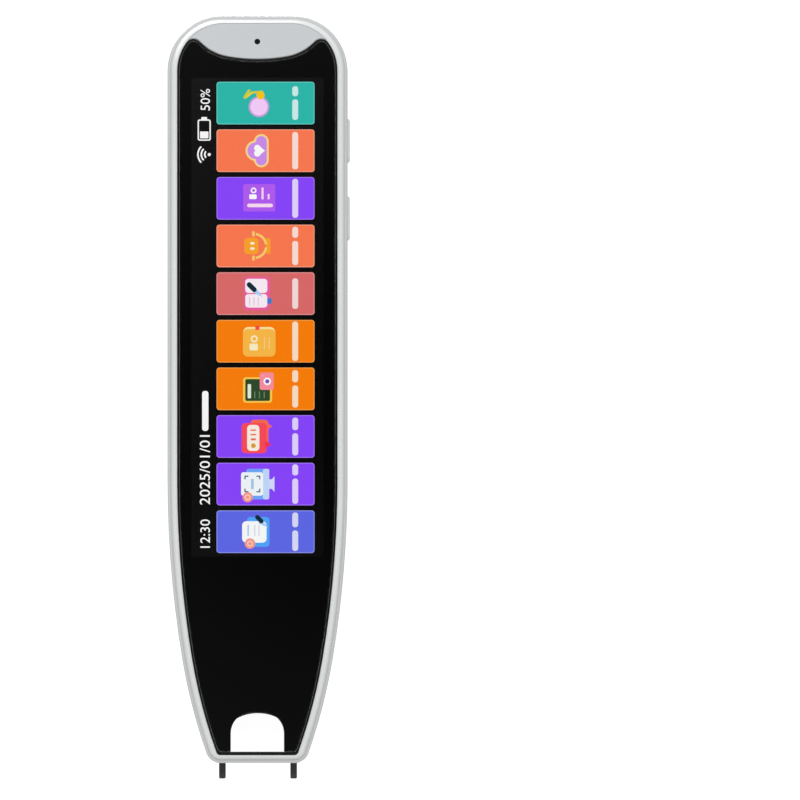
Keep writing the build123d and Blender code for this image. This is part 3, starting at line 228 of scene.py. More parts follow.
def make_flake():
    """Paint with fine metal flakes: each tilts the surface and varies its shade a little."""
    inputs = {"Place": POINT, "Per Metre": NUMBER, "Tilt": NUMBER}
    group, entry, leave = effect("paint_flake", inputs, {"Shade": NUMBER, "Normal": POINT})
    flakes = node(group, "ShaderNodeTexVoronoi", {"Vector": entry["Place"], "Scale": entry["Per Metre"]})
    middle = {0: flakes.outputs["Color"], 1: (0.5, 0.5, 0.5)}
    centred = node(group, "ShaderNodeVectorMath", middle, operation="SUBTRACT")
    lean = scaled(group, centred.outputs[0], entry["Tilt"])
    surface = node(group, "ShaderNodeNewGeometry").outputs["Normal"]
    leant = node(group, "ShaderNodeVectorMath", {0: surface, 1: lean}, operation="ADD").outputs[0]
    normal = node(group, "ShaderNodeVectorMath", {0: leant}, operation="NORMALIZE").outputs[0]
    shade = node(group, "ShaderNodeSeparateColor", {0: flakes.outputs["Color"]}).outputs[0]
    group.links.new(normal, leave["Normal"])
    group.links.new(shade, leave["Shade"])
    return group


grain_to_cloud = 40.0  # how many times broader the cloudy change of shade is than the grain


def make_grain():
    """The fine uneven skin of a moulded or cast surface."""
    inputs = {"Place": POINT, "Per Metre": NUMBER}
    group, entry, leave = effect("moulded_grain", inputs, {"Height": NUMBER, "Mottle": NUMBER})
    place = entry["Place"]
    fine = node(group, "ShaderNodeTexNoise", {"Vector": place, "Scale": entry["Per Metre"], "Detail": 4.0})
    broad = sums(group, "DIVIDE", entry["Per Metre"], grain_to_cloud)
    cloudy = node(group, "ShaderNodeTexNoise", {"Vector": place, "Scale": broad, "Detail": 3.0})
    group.links.new(fine.outputs[0], leave["Height"])
    group.links.new(cloudy.outputs[0], leave["Mottle"])
    return group


def make_handling():
    """Roughness that drifts between two values where hands have polished or greased the surface."""
    inputs = {"Place": POINT, "Per Metre": NUMBER, "Least": NUMBER, "Most": NUMBER}
    group, entry, leave = effect("handling", inputs, {"Roughness": NUMBER})
    smears = {"Vector": entry["Place"], "Scale": entry["Per Metre"], "Detail": 5.0, "Roughness": 0.6}
    drift = node(group, "ShaderNodeTexNoise", smears)
    eased = spread(group, drift.outputs[0], 0.3, 0.7, entry["Least"], entry["Most"])
    group.links.new(eased, leave["Roughness"])
    return group


def make_rubbed():
    """A mask that grows between two levels along one direction and breaks up into scratches."""
    inputs = {"Place": POINT, "Along": NUMBER, "Start": NUMBER, "End": NUMBER, "Per Metre": NUMBER}
    group, entry, leave = effect("rubbed", inputs, {"Mask": NUMBER})
    reach = spread(group, entry["Along"], entry["Start"], entry["End"])
    scratches = {"Vector": entry["Place"], "Scale": entry["Per Metre"], "Detail": 6.0}
    breaks = node(group, "ShaderNodeTexNoise", scratches)
    patchy = spread(group, breaks.outputs[0], 0.35, 0.6)
    group.links.new(product(group, reach, patchy), leave["Mask"])
    return group


def make_brushed():
    """Long fine lines of rolled or brushed metal."""
    inputs = {"Place": POINT, "Stretch": POINT}
    group, entry, leave = effect("brushed_lines", inputs, {"Height": NUMBER, "Shade": NUMBER})
    sides = {0: entry["Place"], 1: entry["Stretch"]}
    drawn = node(group, "ShaderNodeVectorMath", sides, operation="MULTIPLY").outputs[0]
    hairs = {"Vector": drawn, "Scale": 1.0, "Detail": 4.0, "Roughness": 0.7}
    lines = node(group, "ShaderNodeTexNoise", hairs)
    group.links.new(lines.outputs[0], leave["Height"])
    group.links.new(lines.outputs[0], leave["Shade"])
    return group


def make_weave():
    """Two sets of crossing threads."""
    group, entry, leave = effect("cloth_weave", {"Place": POINT, "Per Metre": NUMBER}, {"Height": NUMBER})
    pitch = {"Vector": entry["Place"], "Scale": entry["Per Metre"]}
    waves = [node(group, "ShaderNodeTexWave", pitch, bands_direction=axis) for axis in ("X", "Y")]
    threads = [wave.outputs["Fac"] for wave in waves]
    group.links.new(sums(group, "MAXIMUM", *threads), leave["Height"])
    return group


pad_radius = 0.16  # share of the scatter's pitch


def make_tracks():
    """Copper tracks and round pads under a board's lacquer."""
    inputs = {"Place": POINT, "Per Metre": NUMBER}
    group, entry, leave = effect("board_tracks", inputs, {"Track": NUMBER, "Pad": NUMBER})
    place = scaled(group, entry["Place"], entry["Per Metre"])
    runs = {"Vector": place, "Scale": 1.0, "Mortar Size": 0.06, "Brick Width": 2.4, "Row Height": 0.4}
    bricks = node(group, "ShaderNodeTexBrick", runs)
    scatter = {"Vector": place, "Scale": 0.9, "Randomness": 0.8}
    dots = node(group, "ShaderNodeTexVoronoi", scatter).outputs["Distance"]
    group.links.new(bricks.outputs["Fac"], leave["Track"])
    group.links.new(sums(group, "LESS_THAN", dots, pad_radius), leave["Pad"])
    return group


cell_gap = 0.14  # share of a cell that is the dark line
cell_dimmest = 0.9


def make_pixels():
    """The display's square cells, parted by thin dark lines."""
    group, entry, leave = effect("display_cells", {"Place": POINT, "Per Metre": NUMBER}, {"Light": NUMBER})
    place = scaled(group, entry["Place"], entry["Per Metre"])
    axes = axes_of(group, place)
    lit = [sums(group, "GREATER_THAN", sums(group, "FRACT", axes[k]), cell_gap) for k in (X, Y)]
    group.links.new(spread(group, product(group, *lit), 0.0, 1.0, cell_dimmest, 1.0), leave["Light"])
    return group


flake, grain, handling, rubbed = make_flake(), make_grain(), make_handling(), make_rubbed()
brushed, weave, tracks, pixels = make_brushed(), make_weave(), make_tracks(), make_pixels()


# ---- finishes ---------------------------------------------------------------------------------------------


def start_finish(name, **plain):
    """A new material with plain values on its shader; gives it, its tree, its shader and the place socket."""
    material = bpy.data.materials.new(name)
    material.use_nodes = True
    tree = material.node_tree
    shader = tree.nodes["Principled BSDF"]
    for label, value in plain.items():
        shader.inputs[label.replace("_", " ")].default_value = value
    place = node(tree, "ShaderNodeTexCoord").outputs["Object"]
    return material, tree, shader, place


def use(tree, group, **inputs):
    """An effect placed in a material with its own values; gives its outputs."""
    named = {label.replace("_", " "): value for label, value in inputs.items()}
    return node(tree, "ShaderNodeGroup", named, node_tree=group).outputs


def coloured(tree, shader, colour):
    """The surface's own colour."""
    tree.links.new(colour, shader.inputs["Base Color"])


def glossed(tree, shader, place, per_metre, least, most):
    """An uneven gloss: roughness that drifts between two values."""
    drift = use(tree, handling, Place=place, Per_Metre=per_metre, Least=least, Most=most)
    tree.links.new(drift["Roughness"], shader.inputs["Roughness"])


def bumped(tree, shader, height, depth, normal=None):
    """Relief of a depth in metres on the shader's surface, over another normal if one is given."""
    inputs = {"Height": height, "Distance": depth, "Strength": 1.0}
    if normal is not None:
        inputs["Normal"] = normal
    relief = node(tree, "ShaderNodeBump", inputs)
    tree.links.new(relief.outputs[0], shader.inputs["Normal"])


paint_cloud = 0.15  # how much of the paint's change of shade is broad and cloudy

# How deep each finish's relief is, in metres.
paint_relief = 0.0000015
moulded_relief = 0.00001
nib_relief = 0.00001
rolled_relief = 0.000004
track_relief = 0.00001
dent_relief = 0.00008
thread_relief = 0.00004
lead_relief = 0.000006


def flaked_paint(name, light, dark, flakes, tilt, least, most, painted_shade=None, **plain):
    """Silver paint on plastic: fine flakes, and a gloss that drifts where the pen is held."""
    material, tree, shader, place = start_finish(name, **plain)
    spark = use(tree, flake, Place=place, Per_Metre=flakes, Tilt=tilt)
    skin = use(tree, grain, Place=place, Per_Metre=2500.0)
    shade = product(tree, spark["Shade"], 1.0 - paint_cloud)
    level = sums(tree, "ADD", shade, product(tree, skin["Mottle"], paint_cloud))
    paint = tinted(tree, level, srgb(dark), srgb(light))
    # A given painted shade, here the shade painted into the back's grooves, is laid over the paint.
    if painted_shade:
        paint = painted_shade(tree, place, paint)
    coloured(tree, shader, paint)
    glossed(tree, shader, place, 60.0, least, most)
    bumped(tree, shader, skin["Height"], paint_relief, spark["Normal"])
    return material


# Painted shade: the back's grooves get a dark colour where shade falls in them, full in the petals and at the
# teardrop's top and tip, faint along its sides.
grille_height = 52.72  # the ornament's centre, along Y
petal_reach = 8.3  # all grooves nearer to the centre than this get the full painted shade
groove_skin = (0.06, 0.16)  # depth under the back at which the painted shade starts and is full
groove_floor = (1.2, 1.28)  # and at which it thins out and ends
groove_half = 11.5  # the painted shade stays between the rounded sides
groove_ends = (-47.5, 10.8)  # and between the teardrop's tip and the rounded top
groove_crown = (0.5, 4.0)  # height over the centre at which the teardrop's painted shade gains and is full
groove_tip = (6.0, 1.5)  # distance from the middle line at which it gains and is full again
groove_faint = 0.12  # its strength along the teardrop's sides
# the colour of the shade painted into the grooves
groove_shade_colour = "4c4e4f"


def groove_painted_shade(tree, place, paint):
    """Painted shade in the back's grooves: full in the petals, and fading along the teardrop's sides."""
    x, y, z = (sums(tree, "DIVIDE", axis, MM) for axis in axes_of(tree, place))
    x, y = sums(tree, "ABSOLUTE", x), sums(tree, "SUBTRACT", y, grille_height)
    depth = product(tree, spread(tree, z, *groove_skin), spread(tree, z, *groove_floor, 1.0, 0.0))
    sides = sums(tree, "LESS_THAN", x, groove_half)
    foot = sums(tree, "GREATER_THAN", y, groove_ends[0])
    head = sums(tree, "LESS_THAN", y, groove_ends[1])
    petal = sums(tree, "LESS_THAN", length_of(tree, x, y), petal_reach)
    crown = spread(tree, y, *groove_crown, groove_faint, 1.0)
    tip = spread(tree, x, *groove_tip, groove_faint, 1.0)
    strength = sums(tree, "MAXIMUM", petal, sums(tree, "MAXIMUM", crown, tip))
    shaded_share = product(tree, depth, sides, foot, head, strength)
    # lay the painted shade into the grooves
    return tinted(tree, shaded_share, paint, srgb(groove_shade_colour))


def moulded(name, light, dark, least, most, depth=moulded_relief, **plain):
    """Moulded plastic or rubber: a cloudy colour, a fine skin and an uneven gloss."""
    material, tree, shader, place = start_finish(name, **plain)
    skin = use(tree, grain, Place=place, Per_Metre=6000.0)
    coloured(tree, shader, tinted(tree, skin["Mottle"], srgb(dark), srgb(light)))
    glossed(tree, shader, place, 150.0, least, most)
    bumped(tree, shader, skin["Height"], depth)
    return material


def rolled_metal(name, light, dark, least, most, stretch=(9000.0, 300.0, 9000.0), **plain):
    """Sheet or drawn metal with fine lines along its rolling direction."""
    material, tree, shader, place = start_finish(name, Metallic=1.0, **plain)
    lines = use(tree, brushed, Place=place, Stretch=stretch)
    coloured(tree, shader, tinted(tree, lines["Shade"], srgb(dark), srgb(light)))
    glossed(tree, shader, place, 300.0, least, most)
    bumped(tree, shader, lines["Height"], rolled_relief)
    return material


nib_wear = 1.2  # millimetres of the legs that rub on paper
polished_roughness = 0.28


def worn_black(name, light, dark, tip):
    """Matt black plastic of the nib, polished and greyed where it rubs on paper."""
    material, tree, shader, place = start_finish(name)
    skin = use(tree, grain, Place=place, Per_Metre=9000.0)
    along = axes_of(tree, place)[Y]
    start, end = (tip + nib_wear) * MM, tip * MM
    wear = use(tree, rubbed, Place=place, Along=along, Start=start, End=end, Per_Metre=2500.0)["Mask"]
    base = tinted(tree, skin["Mottle"], srgb(dark), srgb(light))
    coloured(tree, shader, tinted(tree, wear, base, srgb("4a4b4c")))
    dull = use(tree, handling, Place=place, Per_Metre=200.0, Least=0.42, Most=0.58)["Roughness"]
    tree.links.new(spread(tree, wear, 0.0, 1.0, dull, polished_roughness), shader.inputs["Roughness"])
    bumped(tree, shader, skin["Height"], nib_relief)
    return material


def clear_glass(name, roughness, tint):
    """Polished glass with the faintest finger film."""
    material, tree, shader, place = start_finish(name, Transmission_Weight=1.0, IOR=1.5)
    film = use(tree, grain, Place=place, Per_Metre=1200.0)["Mottle"]
    coloured(tree, shader, tinted(tree, film, srgb(tint), srgb("ffffff")))
    glossed(tree, shader, place, 80.0, 0.0, roughness)
    return material


# A small grey spot in the black print: a painted highlight where the glass's edge catches the light.
highlight_spot_place = (0.0, 62.1)
highlight_spot_radius = 0.16
highlight_spot_core = 0.6  # share of the radius that is full grey


def printed_black():
    """The black print under the glass, with a small grey spot that is a painted highlight at the glass's
    edge.
    """
    material, tree, shader, place = start_finish("black_print", Specular_IOR_Level=0.2)
    skin = use(tree, grain, Place=place, Per_Metre=4000.0)
    axes = axes_of(tree, place)
    offsets = [sums(tree, "SUBTRACT", axes[k], highlight_spot_place[k] * MM) for k in (X, Y)]
    # the painted highlight: a small grey spot at the glass's edge
    spot = spread(tree, length_of(tree, *offsets), highlight_spot_radius * MM, highlight_spot_radius * highlight_spot_core * MM)
    base = tinted(tree, skin["Mottle"], srgb("131314"), srgb("18181a"))
    coloured(tree, shader, tinted(tree, spot, base, srgb("8a9094")))
    glossed(tree, shader, place, 200.0, 0.5, 0.6)
    return material


track_strength = 0.45  # how clearly the tracks show through the lacquer


def circuit_board(name, lacquer, shade):
    """Lacquered board with tracks and tinned pads."""
    material, tree, shader, place = start_finish(name, Coat_Weight=0.4, Coat_Roughness=0.15)
    laid = use(tree, tracks, Place=place, Per_Metre=900.0)
    skin = use(tree, grain, Place=place, Per_Metre=8000.0)
    base = tinted(tree, skin["Mottle"], srgb(shade), srgb(lacquer))
    tracked = tinted(tree, product(tree, laid["Track"], track_strength), base, srgb("3f8a55"))
    coloured(tree, shader, tinted(tree, laid["Pad"], tracked, srgb("d8c37a")))
    tree.links.new(laid["Pad"], shader.inputs["Metallic"])
    glossed(tree, shader, place, 300.0, 0.3, 0.42)
    bumped(tree, shader, laid["Track"], track_relief)
    return material


def flat_ribbon(name):
    """Amber film with copper tracks running through it."""
    material, tree, shader, place = start_finish(name, Coat_Weight=0.5, Coat_Roughness=0.12)
    lines = use(tree, pixels, Place=place, Per_Metre=2500.0)["Light"]
    skin = use(tree, grain, Place=place, Per_Metre=4000.0)["Mottle"]
    film = tinted(tree, skin, srgb("8a4c10"), srgb("b06a1e"))
    between = spread(tree, lines, cell_dimmest, 1.0)
    coloured(tree, shader, tinted(tree, between, srgb("6a3508"), film))
    glossed(tree, shader, place, 300.0, 0.25, 0.4)
    return material


def crinkled_foil(name):
    """The battery's silvery pouch: soft dents under a satin film."""
    material, tree, shader, place = start_finish(name, Metallic=0.9)
    dents = use(tree, grain, Place=place, Per_Metre=450.0)
    coloured(tree, shader, tinted(tree, dents["Mottle"], srgb("a9adb0"), srgb("c9cdd0")))
    glossed(tree, shader, place, 120.0, 0.3, 0.42)
    bumped(tree, shader, dents["Height"], dent_relief)
    return material


def woven_cloth(name, light, dark, per_metre):
    """Dust cloth or mesh of crossing threads."""
    material, tree, shader, place = start_finish(name, Sheen_Weight=0.2)
    threads = use(tree, weave, Place=place, Per_Metre=per_metre)["Height"]
    coloured(tree, shader, tinted(tree, threads, srgb(dark), srgb(light)))
    glossed(tree, shader, place, 400.0, 0.75, 0.9)
    bumped(tree, shader, threads, thread_relief)
    return material


lead_dust = 0.3


def lead_pair(name, middle):
    """Soft insulation of a pair of leads: red on one side of the pair's middle, black on the other."""
    material, tree, shader, place = start_finish(name)
    skin = use(tree, grain, Place=place, Per_Metre=3000.0)
    red = sums(tree, "GREATER_THAN", axes_of(tree, place)[X], middle)
    colour = tinted(tree, red, srgb("15171a"), srgb("b3161c"))
    dust = product(tree, skin["Mottle"], lead_dust)
    coloured(tree, shader, tinted(tree, dust, colour, srgb("5a4a4a")))
    glossed(tree, shader, place, 300.0, 0.4, 0.55)
    bumped(tree, shader, skin["Height"], lead_relief)
    return material


cell_pitch = 0.094  # millimetres
ink_darkness = 0.96  # share of black in a shape's own colour, under its light


def screen_light():
    """The display's own light: each shape's ink, cut into the display's fine cells."""
    plain = {"Emission_Strength": 1.0, "Roughness": 0.4, "Specular_IOR_Level": 0.0}
    material, tree, shader, place = start_finish("screen_light", **plain)
    ink = node(tree, "ShaderNodeAttribute", attribute_name="ink").outputs["Color"]
    cells = use(tree, pixels, Place=place, Per_Metre=1.0 / (cell_pitch * MM))["Light"]
    tree.links.new(scaled(tree, ink, cells), shader.inputs["Emission Color"])
    coloured(tree, shader, tinted(tree, ink_darkness, ink, srgb("000000")))
    return material


def lamp_dome(name):
    """A small white lamp: pale yellow phosphor under clear resin."""
    material, tree, shader, place = start_finish(name, Coat_Weight=1.0, Coat_Roughness=0.08)
    skin = use(tree, grain, Place=place, Per_Metre=5000.0)
    coloured(tree, shader, tinted(tree, skin["Mottle"], srgb("e8d26a"), srgb("f4efc8")))
    glossed(tree, shader, place, 500.0, 0.2, 0.35)
    return material


def box_mm(name):
    """Lowest and highest corner of a CAD node, in millimetres."""
    low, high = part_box(name)
    return low / MM, high / MM


fork_tip = box_mm("nib_fork")[0].y
battery_pair_middle = sum(v.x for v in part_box("battery_leads")) / 2
speaker_pair_middle = sum(v.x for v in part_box("speaker_leads")) / 2

tinned = rolled_metal("tinned_steel", "c6c8c8", "a9acad", 0.22, 0.34)
chip_black = moulded("chip_black", "26282a", "17181a", 0.5, 0.62)
dust_cloth = woven_cloth("dust_cloth", "1c1c1d", "020202", 1800.0)

finishes = [
    # The rear shell's paint carries the shade painted into its grooves.
    (flaked_paint("silver_paint", "e6e8e9", "d2d5d7", 14000.0, 0.09, 0.42, 0.46, groove_painted_shade,
                  Metallic=0.6, Coat_Weight=0.12, Coat_Roughness=0.3), ["rear_shell"]),
    (flaked_paint("silver_rim", "f4f6f6", "e2e5e5", 16000.0, 0.05, 0.24, 0.28,
                  Metallic=0.45, Coat_Weight=0.3, Coat_Roughness=0.12), ["front_frame"]),
    (flaked_paint("crescent_grey", "dde0e2", "cfd3d5", 14000.0, 0.07, 0.37, 0.4, Metallic=0.3),
     ["top_panel"]),
    (flaked_paint("key_silver", "ffffff", "f4f6f6", 14000.0, 0.05, 0.3, 0.34,
                  Metallic=0.05, Coat_Weight=0.3, Coat_Roughness=0.15), ["power_key", "function_key"]),
    (moulded("gloss_black", "0d0d0e", "070707", 0.06, 0.12, depth=0.000002,
             Coat_Weight=1.0, Coat_Roughness=0.04), ["bezel_ring"]),
    (clear_glass("cover_clear", 0.004, "fafcfc"), ["cover_glass"]),
    (printed_black(), ["glass_mask"]),
    (moulded("display_dark", "020202", "010101", 0.5, 0.55, depth=0.000001,
             Specular_IOR_Level=0.0), ["lcd_cell"]),
    (worn_black("fork_black", "2b2d2d", "1c1d1e", fork_tip), ["nib_fork"]),
    (moulded("hood_black", "0b0b0b", "060606", 0.4, 0.5), ["scan_hood"]),
    (clear_glass("lens_clear", 0.002, "dfe8f4"), ["camera_window", "scan_lens"]),
    (lamp_dome("lamp_phosphor"), ["scan_leds"]),
    (moulded("white_moulded", "f0efe9", "dcdad2", 0.4, 0.5),
     ["lcd_backlight", "display_socket", "battery_connector"]),
    (rolled_metal("chassis_alloy", "b9bcc0", "9a9ea3", 0.36, 0.48), ["mid_frame", "key_bracket"]),
    (tinned, ["usb_shell", "processor_shield", "microphone", "radio_module", "key_switches", "nib_switch"]),
    (rolled_metal("spring_steel", "b4b6b8", "85888b", 0.2, 0.3, (3000.0, 3000.0, 3000.0)),
     ["nib_springs", "nib_clips", "case_screws", "board_screws"]),
    (rolled_metal("magnet_nickel", "cfcfca", "b5b5af", 0.16, 0.26, (2500.0, 2500.0, 2500.0)),
     ["speaker_magnet"]),
    (circuit_board("board_green", "1c5a34", "0f3f24"),
     ["main_board", "battery_board", "camera_board", "key_board", "led_board", "nib_board"]),
    (chip_black, ["memory_chip", "power_chip", "audio_chip"]),
    (flat_ribbon("flex_amber"), ["display_flex", "camera_flex", "mic_flex", "wifi_antenna"]),
    (crinkled_foil("pouch_foil"), ["battery_cell"]),
    (moulded("tape_black", "1d1f21", "121314", 0.5, 0.65), ["glass_tape", "battery_tape"]),
    (moulded("soft_rubber", "0f0f10", "070708", 0.7, 0.85), ["mic_boot", "speaker_gasket"]),
    (dust_cloth, ["speaker_mesh"]),
    (moulded("black_moulded", "202122", "131415", 0.42, 0.55),
     ["speaker_frame", "speaker_cone", "camera_holder", "usb_tongue", "nib_guide",
      "nib_switch_plunger", "power_switch_plunger", "function_switch_plunger", "antenna_cable"]),
    (lead_pair("battery_lead_pair", battery_pair_middle), ["battery_leads"]),
    (lead_pair("speaker_lead_pair", speaker_pair_middle), ["speaker_leads"]),
]

for material, names in finishes:
    for name in names:
        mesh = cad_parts[name].data
        mesh.materials.clear()
        mesh.materials.append(material)


# ---- pieces -----------------------------------------------------------------------------------------------


def add_piece(name, drawn, material, body="housing"):
    """A finished mesh, drawn in millimetres, as a piece that rides on a body."""
    bmesh.ops.recalc_face_normals(drawn, faces=drawn.faces)
    bmesh.ops.scale(drawn, vec=(MM, MM, MM), verts=drawn.verts)
    mesh = bpy.data.meshes.new(name)
    drawn.to_mesh(mesh)
    drawn.free()
    mesh.materials.append(material)
    piece = bpy.data.objects.new(name, mesh)
    bpy.context.scene.collection.objects.link(piece)
    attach(piece, body)


# The display's picture is a stack of very thin plates between the display and the printed mask. It is read
# with the pen turned on its side: words run towards +Y and their tops are towards -X.

plate_thickness = 0.006
plate_step = 0.01
plate_lift = 0.012  # over the display
plate_first = box_mm("lcd_cell")[1].z + plate_lift
arc_segments = 28


def new_art():
    """An empty drawing whose faces carry an ink."""
    art = bmesh.new()
    art.loops.layers.float_color.new("ink")
    return art


def inked(art, verts, ink, level, place=(0.0, 0.0), turn=0.0):
    """Colour the new flat shape, then turn it and lay it in its place and on its level."""
    height = plate_first + level * plate_step
    bmesh.ops.rotate(art, verts=verts, matrix=Matrix.Rotation(turn, 3, "Z"))
    bmesh.ops.translate(art, verts=verts, vec=(*place, height))
    layer = art.loops.layers.float_color["ink"]
    colour = srgb(ink)
    for face in {face for vert in verts for face in vert.link_faces}:
        for loop in face.loops:
            loop[layer] = colour
    return verts


def tablet(art, ink, level, x, y, corner=0.25, turn=0.0):
    """A rectangle with round corners, given by its two sides and two ends."""
    made = bmesh.ops.create_grid(art, x_segments=1, y_segments=1, size=0.5)["verts"]
    bmesh.ops.scale(art, verts=made, vec=(x[1] - x[0], y[1] - y[0], 1))
    round_corners = bmesh.ops.bevel(
        art, geom=made, offset=corner, offset_type="OFFSET", segments=6, profile=0.5,
        affect="VERTICES", material=-1,
    )
    return inked(art, round_corners["verts"], ink, level, (sum(x) / 2, sum(y) / 2), turn)


def disc(art, ink, level, x, y, radius):
    """A round dot."""
    made = bmesh.ops.create_circle(art, cap_ends=True, radius=radius, segments=arc_segments)["verts"]
    return inked(art, made, ink, level, (x, y))


def arc(art, ink, level, x, y, radius, width, start=0.0, sweep=360.0):
    """Part of a ring, or a whole one, with its angles in degrees from +X."""
    old = set(art.verts)
    ends = [bmesh.ops.create_vert(art, co=(radius + side * width / 2, 0, 0))["vert"][0] for side in (-1, 1)]
    edge = art.edges.new(ends)
    bmesh.ops.spin(
        art, geom=[*ends, edge], cent=(0, 0, 0), axis=(0, 0, 1),
        angle=math.radians(sweep), steps=arc_segments, use_merge=sweep == 360.0,
    )
    made = [vert for vert in art.verts if vert not in old]
    return inked(art, made, ink, level, (x, y), math.radians(start))


def stroke(art, ink, level, start, end, width):
    """A line with round ends."""
    run = Vector(end) - Vector(start)
    middle = (Vector(end) + Vector(start)) / 2
    half = run.length / 2 + width / 2
    sides = (middle.x - half, middle.x + half)
    ends = (middle.y - width / 2, middle.y + width / 2)
    return tablet(art, ink, level, sides, ends, width * 0.49, math.atan2(run.y, run.x))


def patch(art, ink, level, corners):
    """A plain flat shape through a few corners."""
    made = [bmesh.ops.create_vert(art, co=(x, y, 0))["vert"][0] for x, y in corners]
    art.faces.new(made)
    return inked(art, made, ink, level)


def figures(art, ink, level, text, baseline, start, length, height):
    """Plain figures that read towards +Y from a start, as long and as tall as given."""
    curve = bpy.data.curves.new("figures", "FONT")
    curve.body = text
    curve.resolution_u = 4
    curve.offset = 0.002
    holder = bpy.data.objects.new("figures", curve)
    bpy.context.scene.collection.objects.link(holder)
    shapes = bpy.data.meshes.new_from_object(holder.evaluated_get(bpy.context.evaluated_depsgraph_get()))
    bpy.data.objects.remove(holder)
    old = set(art.verts)
    art.from_mesh(shapes)
    made = [vert for vert in art.verts if vert not in old]
    low = Vector((min(v.co.x for v in made), min(v.co.y for v in made), 0))
    high = Vector((max(v.co.x for v in made), max(v.co.y for v in made), 0))
    bmesh.ops.translate(art, verts=made, vec=-low)
    bmesh.ops.scale(art, verts=made, vec=(length / (high.x - low.x), height / (high.y - low.y), 1))
    return inked(art, made, ink, level, (baseline, start), math.pi / 2)


def finished_art(name, art):
    """The drawing with its thickness, as a piece of the display."""
    bmesh.ops.solidify(art, geom=art.faces[:], thickness=plate_thickness)
    bmesh.ops.dissolve_degenerate(art, dist=0.00001, edges=art.edges[:])
    add_piece(name, art, screen_ink)


screen_ink = screen_light()
tile_sides = (-7.75, 10.85)
tile_length = 8.08
tile_pitch = 9.05
tile_first = 54.4
tile_corner = 0.55
tile_border = 0.14
coral, violet, orange = ("ff7a50", "ffa98c"), ("8a45ff", "ad80ff"), ("ff8000", "ffaa55")
tile_colours = [  # a button's ink and its border's
    ("28bbad", "6fd8cc"), coral, violet, coral, ("df6b6b", "efa0a0"),
    orange, orange, violet, violet, ("6069ea", "9aa0f4"),
]
tile_places = [tile_first - n * tile_pitch for n in range(len(tile_colours))]


def screen_tiles():
    """The column of coloured buttons, each with a thin lighter border."""
    art = new_art()
    for y, (ink, border) in zip(tile_places, tile_colours):
        ends = (y - tile_length / 2, y + tile_length / 2)
        tablet(art, border, 0, tile_sides, ends, tile_corner)
        inner = [(low + tile_border, high - tile_border) for low, high in (tile_sides, ends)]
        tablet(art, ink, 1, *inner, tile_corner - tile_border)
    finished_art("screen_tiles", art)


def music_icon(art):
    disc(art, "c7a0e0", 2, 0.3, -0.7, 1.98)
    disc(art, "fbd0ff", 3, 0.3, -0.7, 1.66)
    stroke(art, "d8d030", 2, (0.9, 2.15), (-1.0, 2.0), 0.42)
    stroke(art, "e8dc2a", 2, (-1.0, 2.0), (-2.3, 1.05), 0.42)
    stroke(art, "d8d030", 3, (-2.4, 1.1), (-1.6, 2.35), 0.5)
    disc(art, "ffc80a", 4, 0.6, 1.45, 0.76)


def cloud(art, ink, level, shrink):
    """A cloud with its flat side down, drawn in by an amount."""
    disc(art, ink, level, -0.3, 0.0, 1.95 - shrink)
    for side in (-1, 1):
        disc(art, ink, level, 0.75, side * 1.75, 1.4 - shrink)
    tablet(art, ink, level, (-0.3, 2.15 - shrink), (-1.75, 1.75), 0.05)


def cloud_icon(art):
    cloud(art, "ffdc8a", 2, 0.0)
    cloud(art, "cf8ef0", 3, 0.36)
    for side in (-1, 1):
        disc(art, "ffffff", 4, 0.0, side * 0.5, 0.62)
    patch(art, "ffffff", 4, [(0.12, -1.08), (1.45, 0.0), (0.12, 1.08)])


def card_icon(art):
    tablet(art, "b45cf5", 2, (-2.7, 3.4), (-2.5, 2.7), 0.35)
    stroke(art, "ffe0f4", 3, (-1.6, -1.35), (2.6, -1.35), 0.68)
    tablet(art, "ffd8f8", 3, (0.78, 1.18), (-0.2, 2.05), 0.1)
    tablet(art, "ffd8f8", 3, (1.95, 2.32), (-0.2, 0.85), 0.1)
    tablet(art, "ffffff", 3, (-1.55, -0.15), (-0.15, 0.75), 0.2)
    arc(art, "ffffff", 3, -0.72, 1.5, 0.42, 0.26)


def face_icon(art):
    tablet(art, "ffa42a", 2, (-2.5, 0.2), (-1.55, 1.55), 0.7)
    tablet(art, "ffa42a", 2, (1.6, 2.5), (-1.5, 1.5), 0.3)
    for side in (-1, 1):
        arc(art, "ffd070", 3, -0.6, 0.0, 2.27, 0.45, 7.0 if side > 0 else -82.0, 75.0)
        stroke(art, "ffd070", 3, (-0.75, side * 2.05), (-0.75, side * 2.55), 0.5)
        stroke(art, "fff4d8", 3, (-1.15, side * 0.5), (-0.75, side * 0.5), 0.46)


def book_icon(art):
    tablet(art, "ee5fa0", 2, (-2.6, 2.45), (-3.2, 3.2), 0.9)
    tablet(art, "3f7fd0", 3, (1.85, 2.72), (-1.95, -0.85), 0.12)
    tablet(art, "fff2fb", 4, (-2.3, 1.88), (0.12, 2.8), 0.6)
    tablet(art, "fff2fb", 4, (-2.3, 1.88), (-2.65, -0.1), 0.6)
    for x in (-1.45, -0.65, 0.15):
        tablet(art, "e3bfe0", 5, (x - 0.08, x + 0.08), (-2.3, -0.7), 0.03)
    patch(art, "a8d4ff", 5, [(-0.55, 1.2), (0.15, 0.55), (0.95, -0.65), (-0.05, -0.2), (-0.95, 0.4)])
    stroke(art, "0b2a3a", 6, (-1.55, 1.7), (-0.6, 0.75), 0.95)


def dictionary_icon(art):
    tablet(art, "ffe9a0", 2, (-2.7, 3.4), (-2.9, 2.7), 1.0)
    tablet(art, "ffbc48", 3, (-2.75, 3.45), (-2.92, 2.3), 0.9)
    tablet(art, "ff4a4a", 4, (-0.4, 0.4), (2.15, 2.95), 0.08)
    for x in (1.35, 2.25):
        tablet(art, "ffd07c", 4, (x - 0.12, x + 0.12), (-1.5, 0.8), 0.05)
    tablet(art, "fff3c8", 4, (-1.5, 0.1), (-1.75, -0.45), 0.3)
    arc(art, "fff3c8", 4, -0.6, 0.45, 0.52, 0.3)


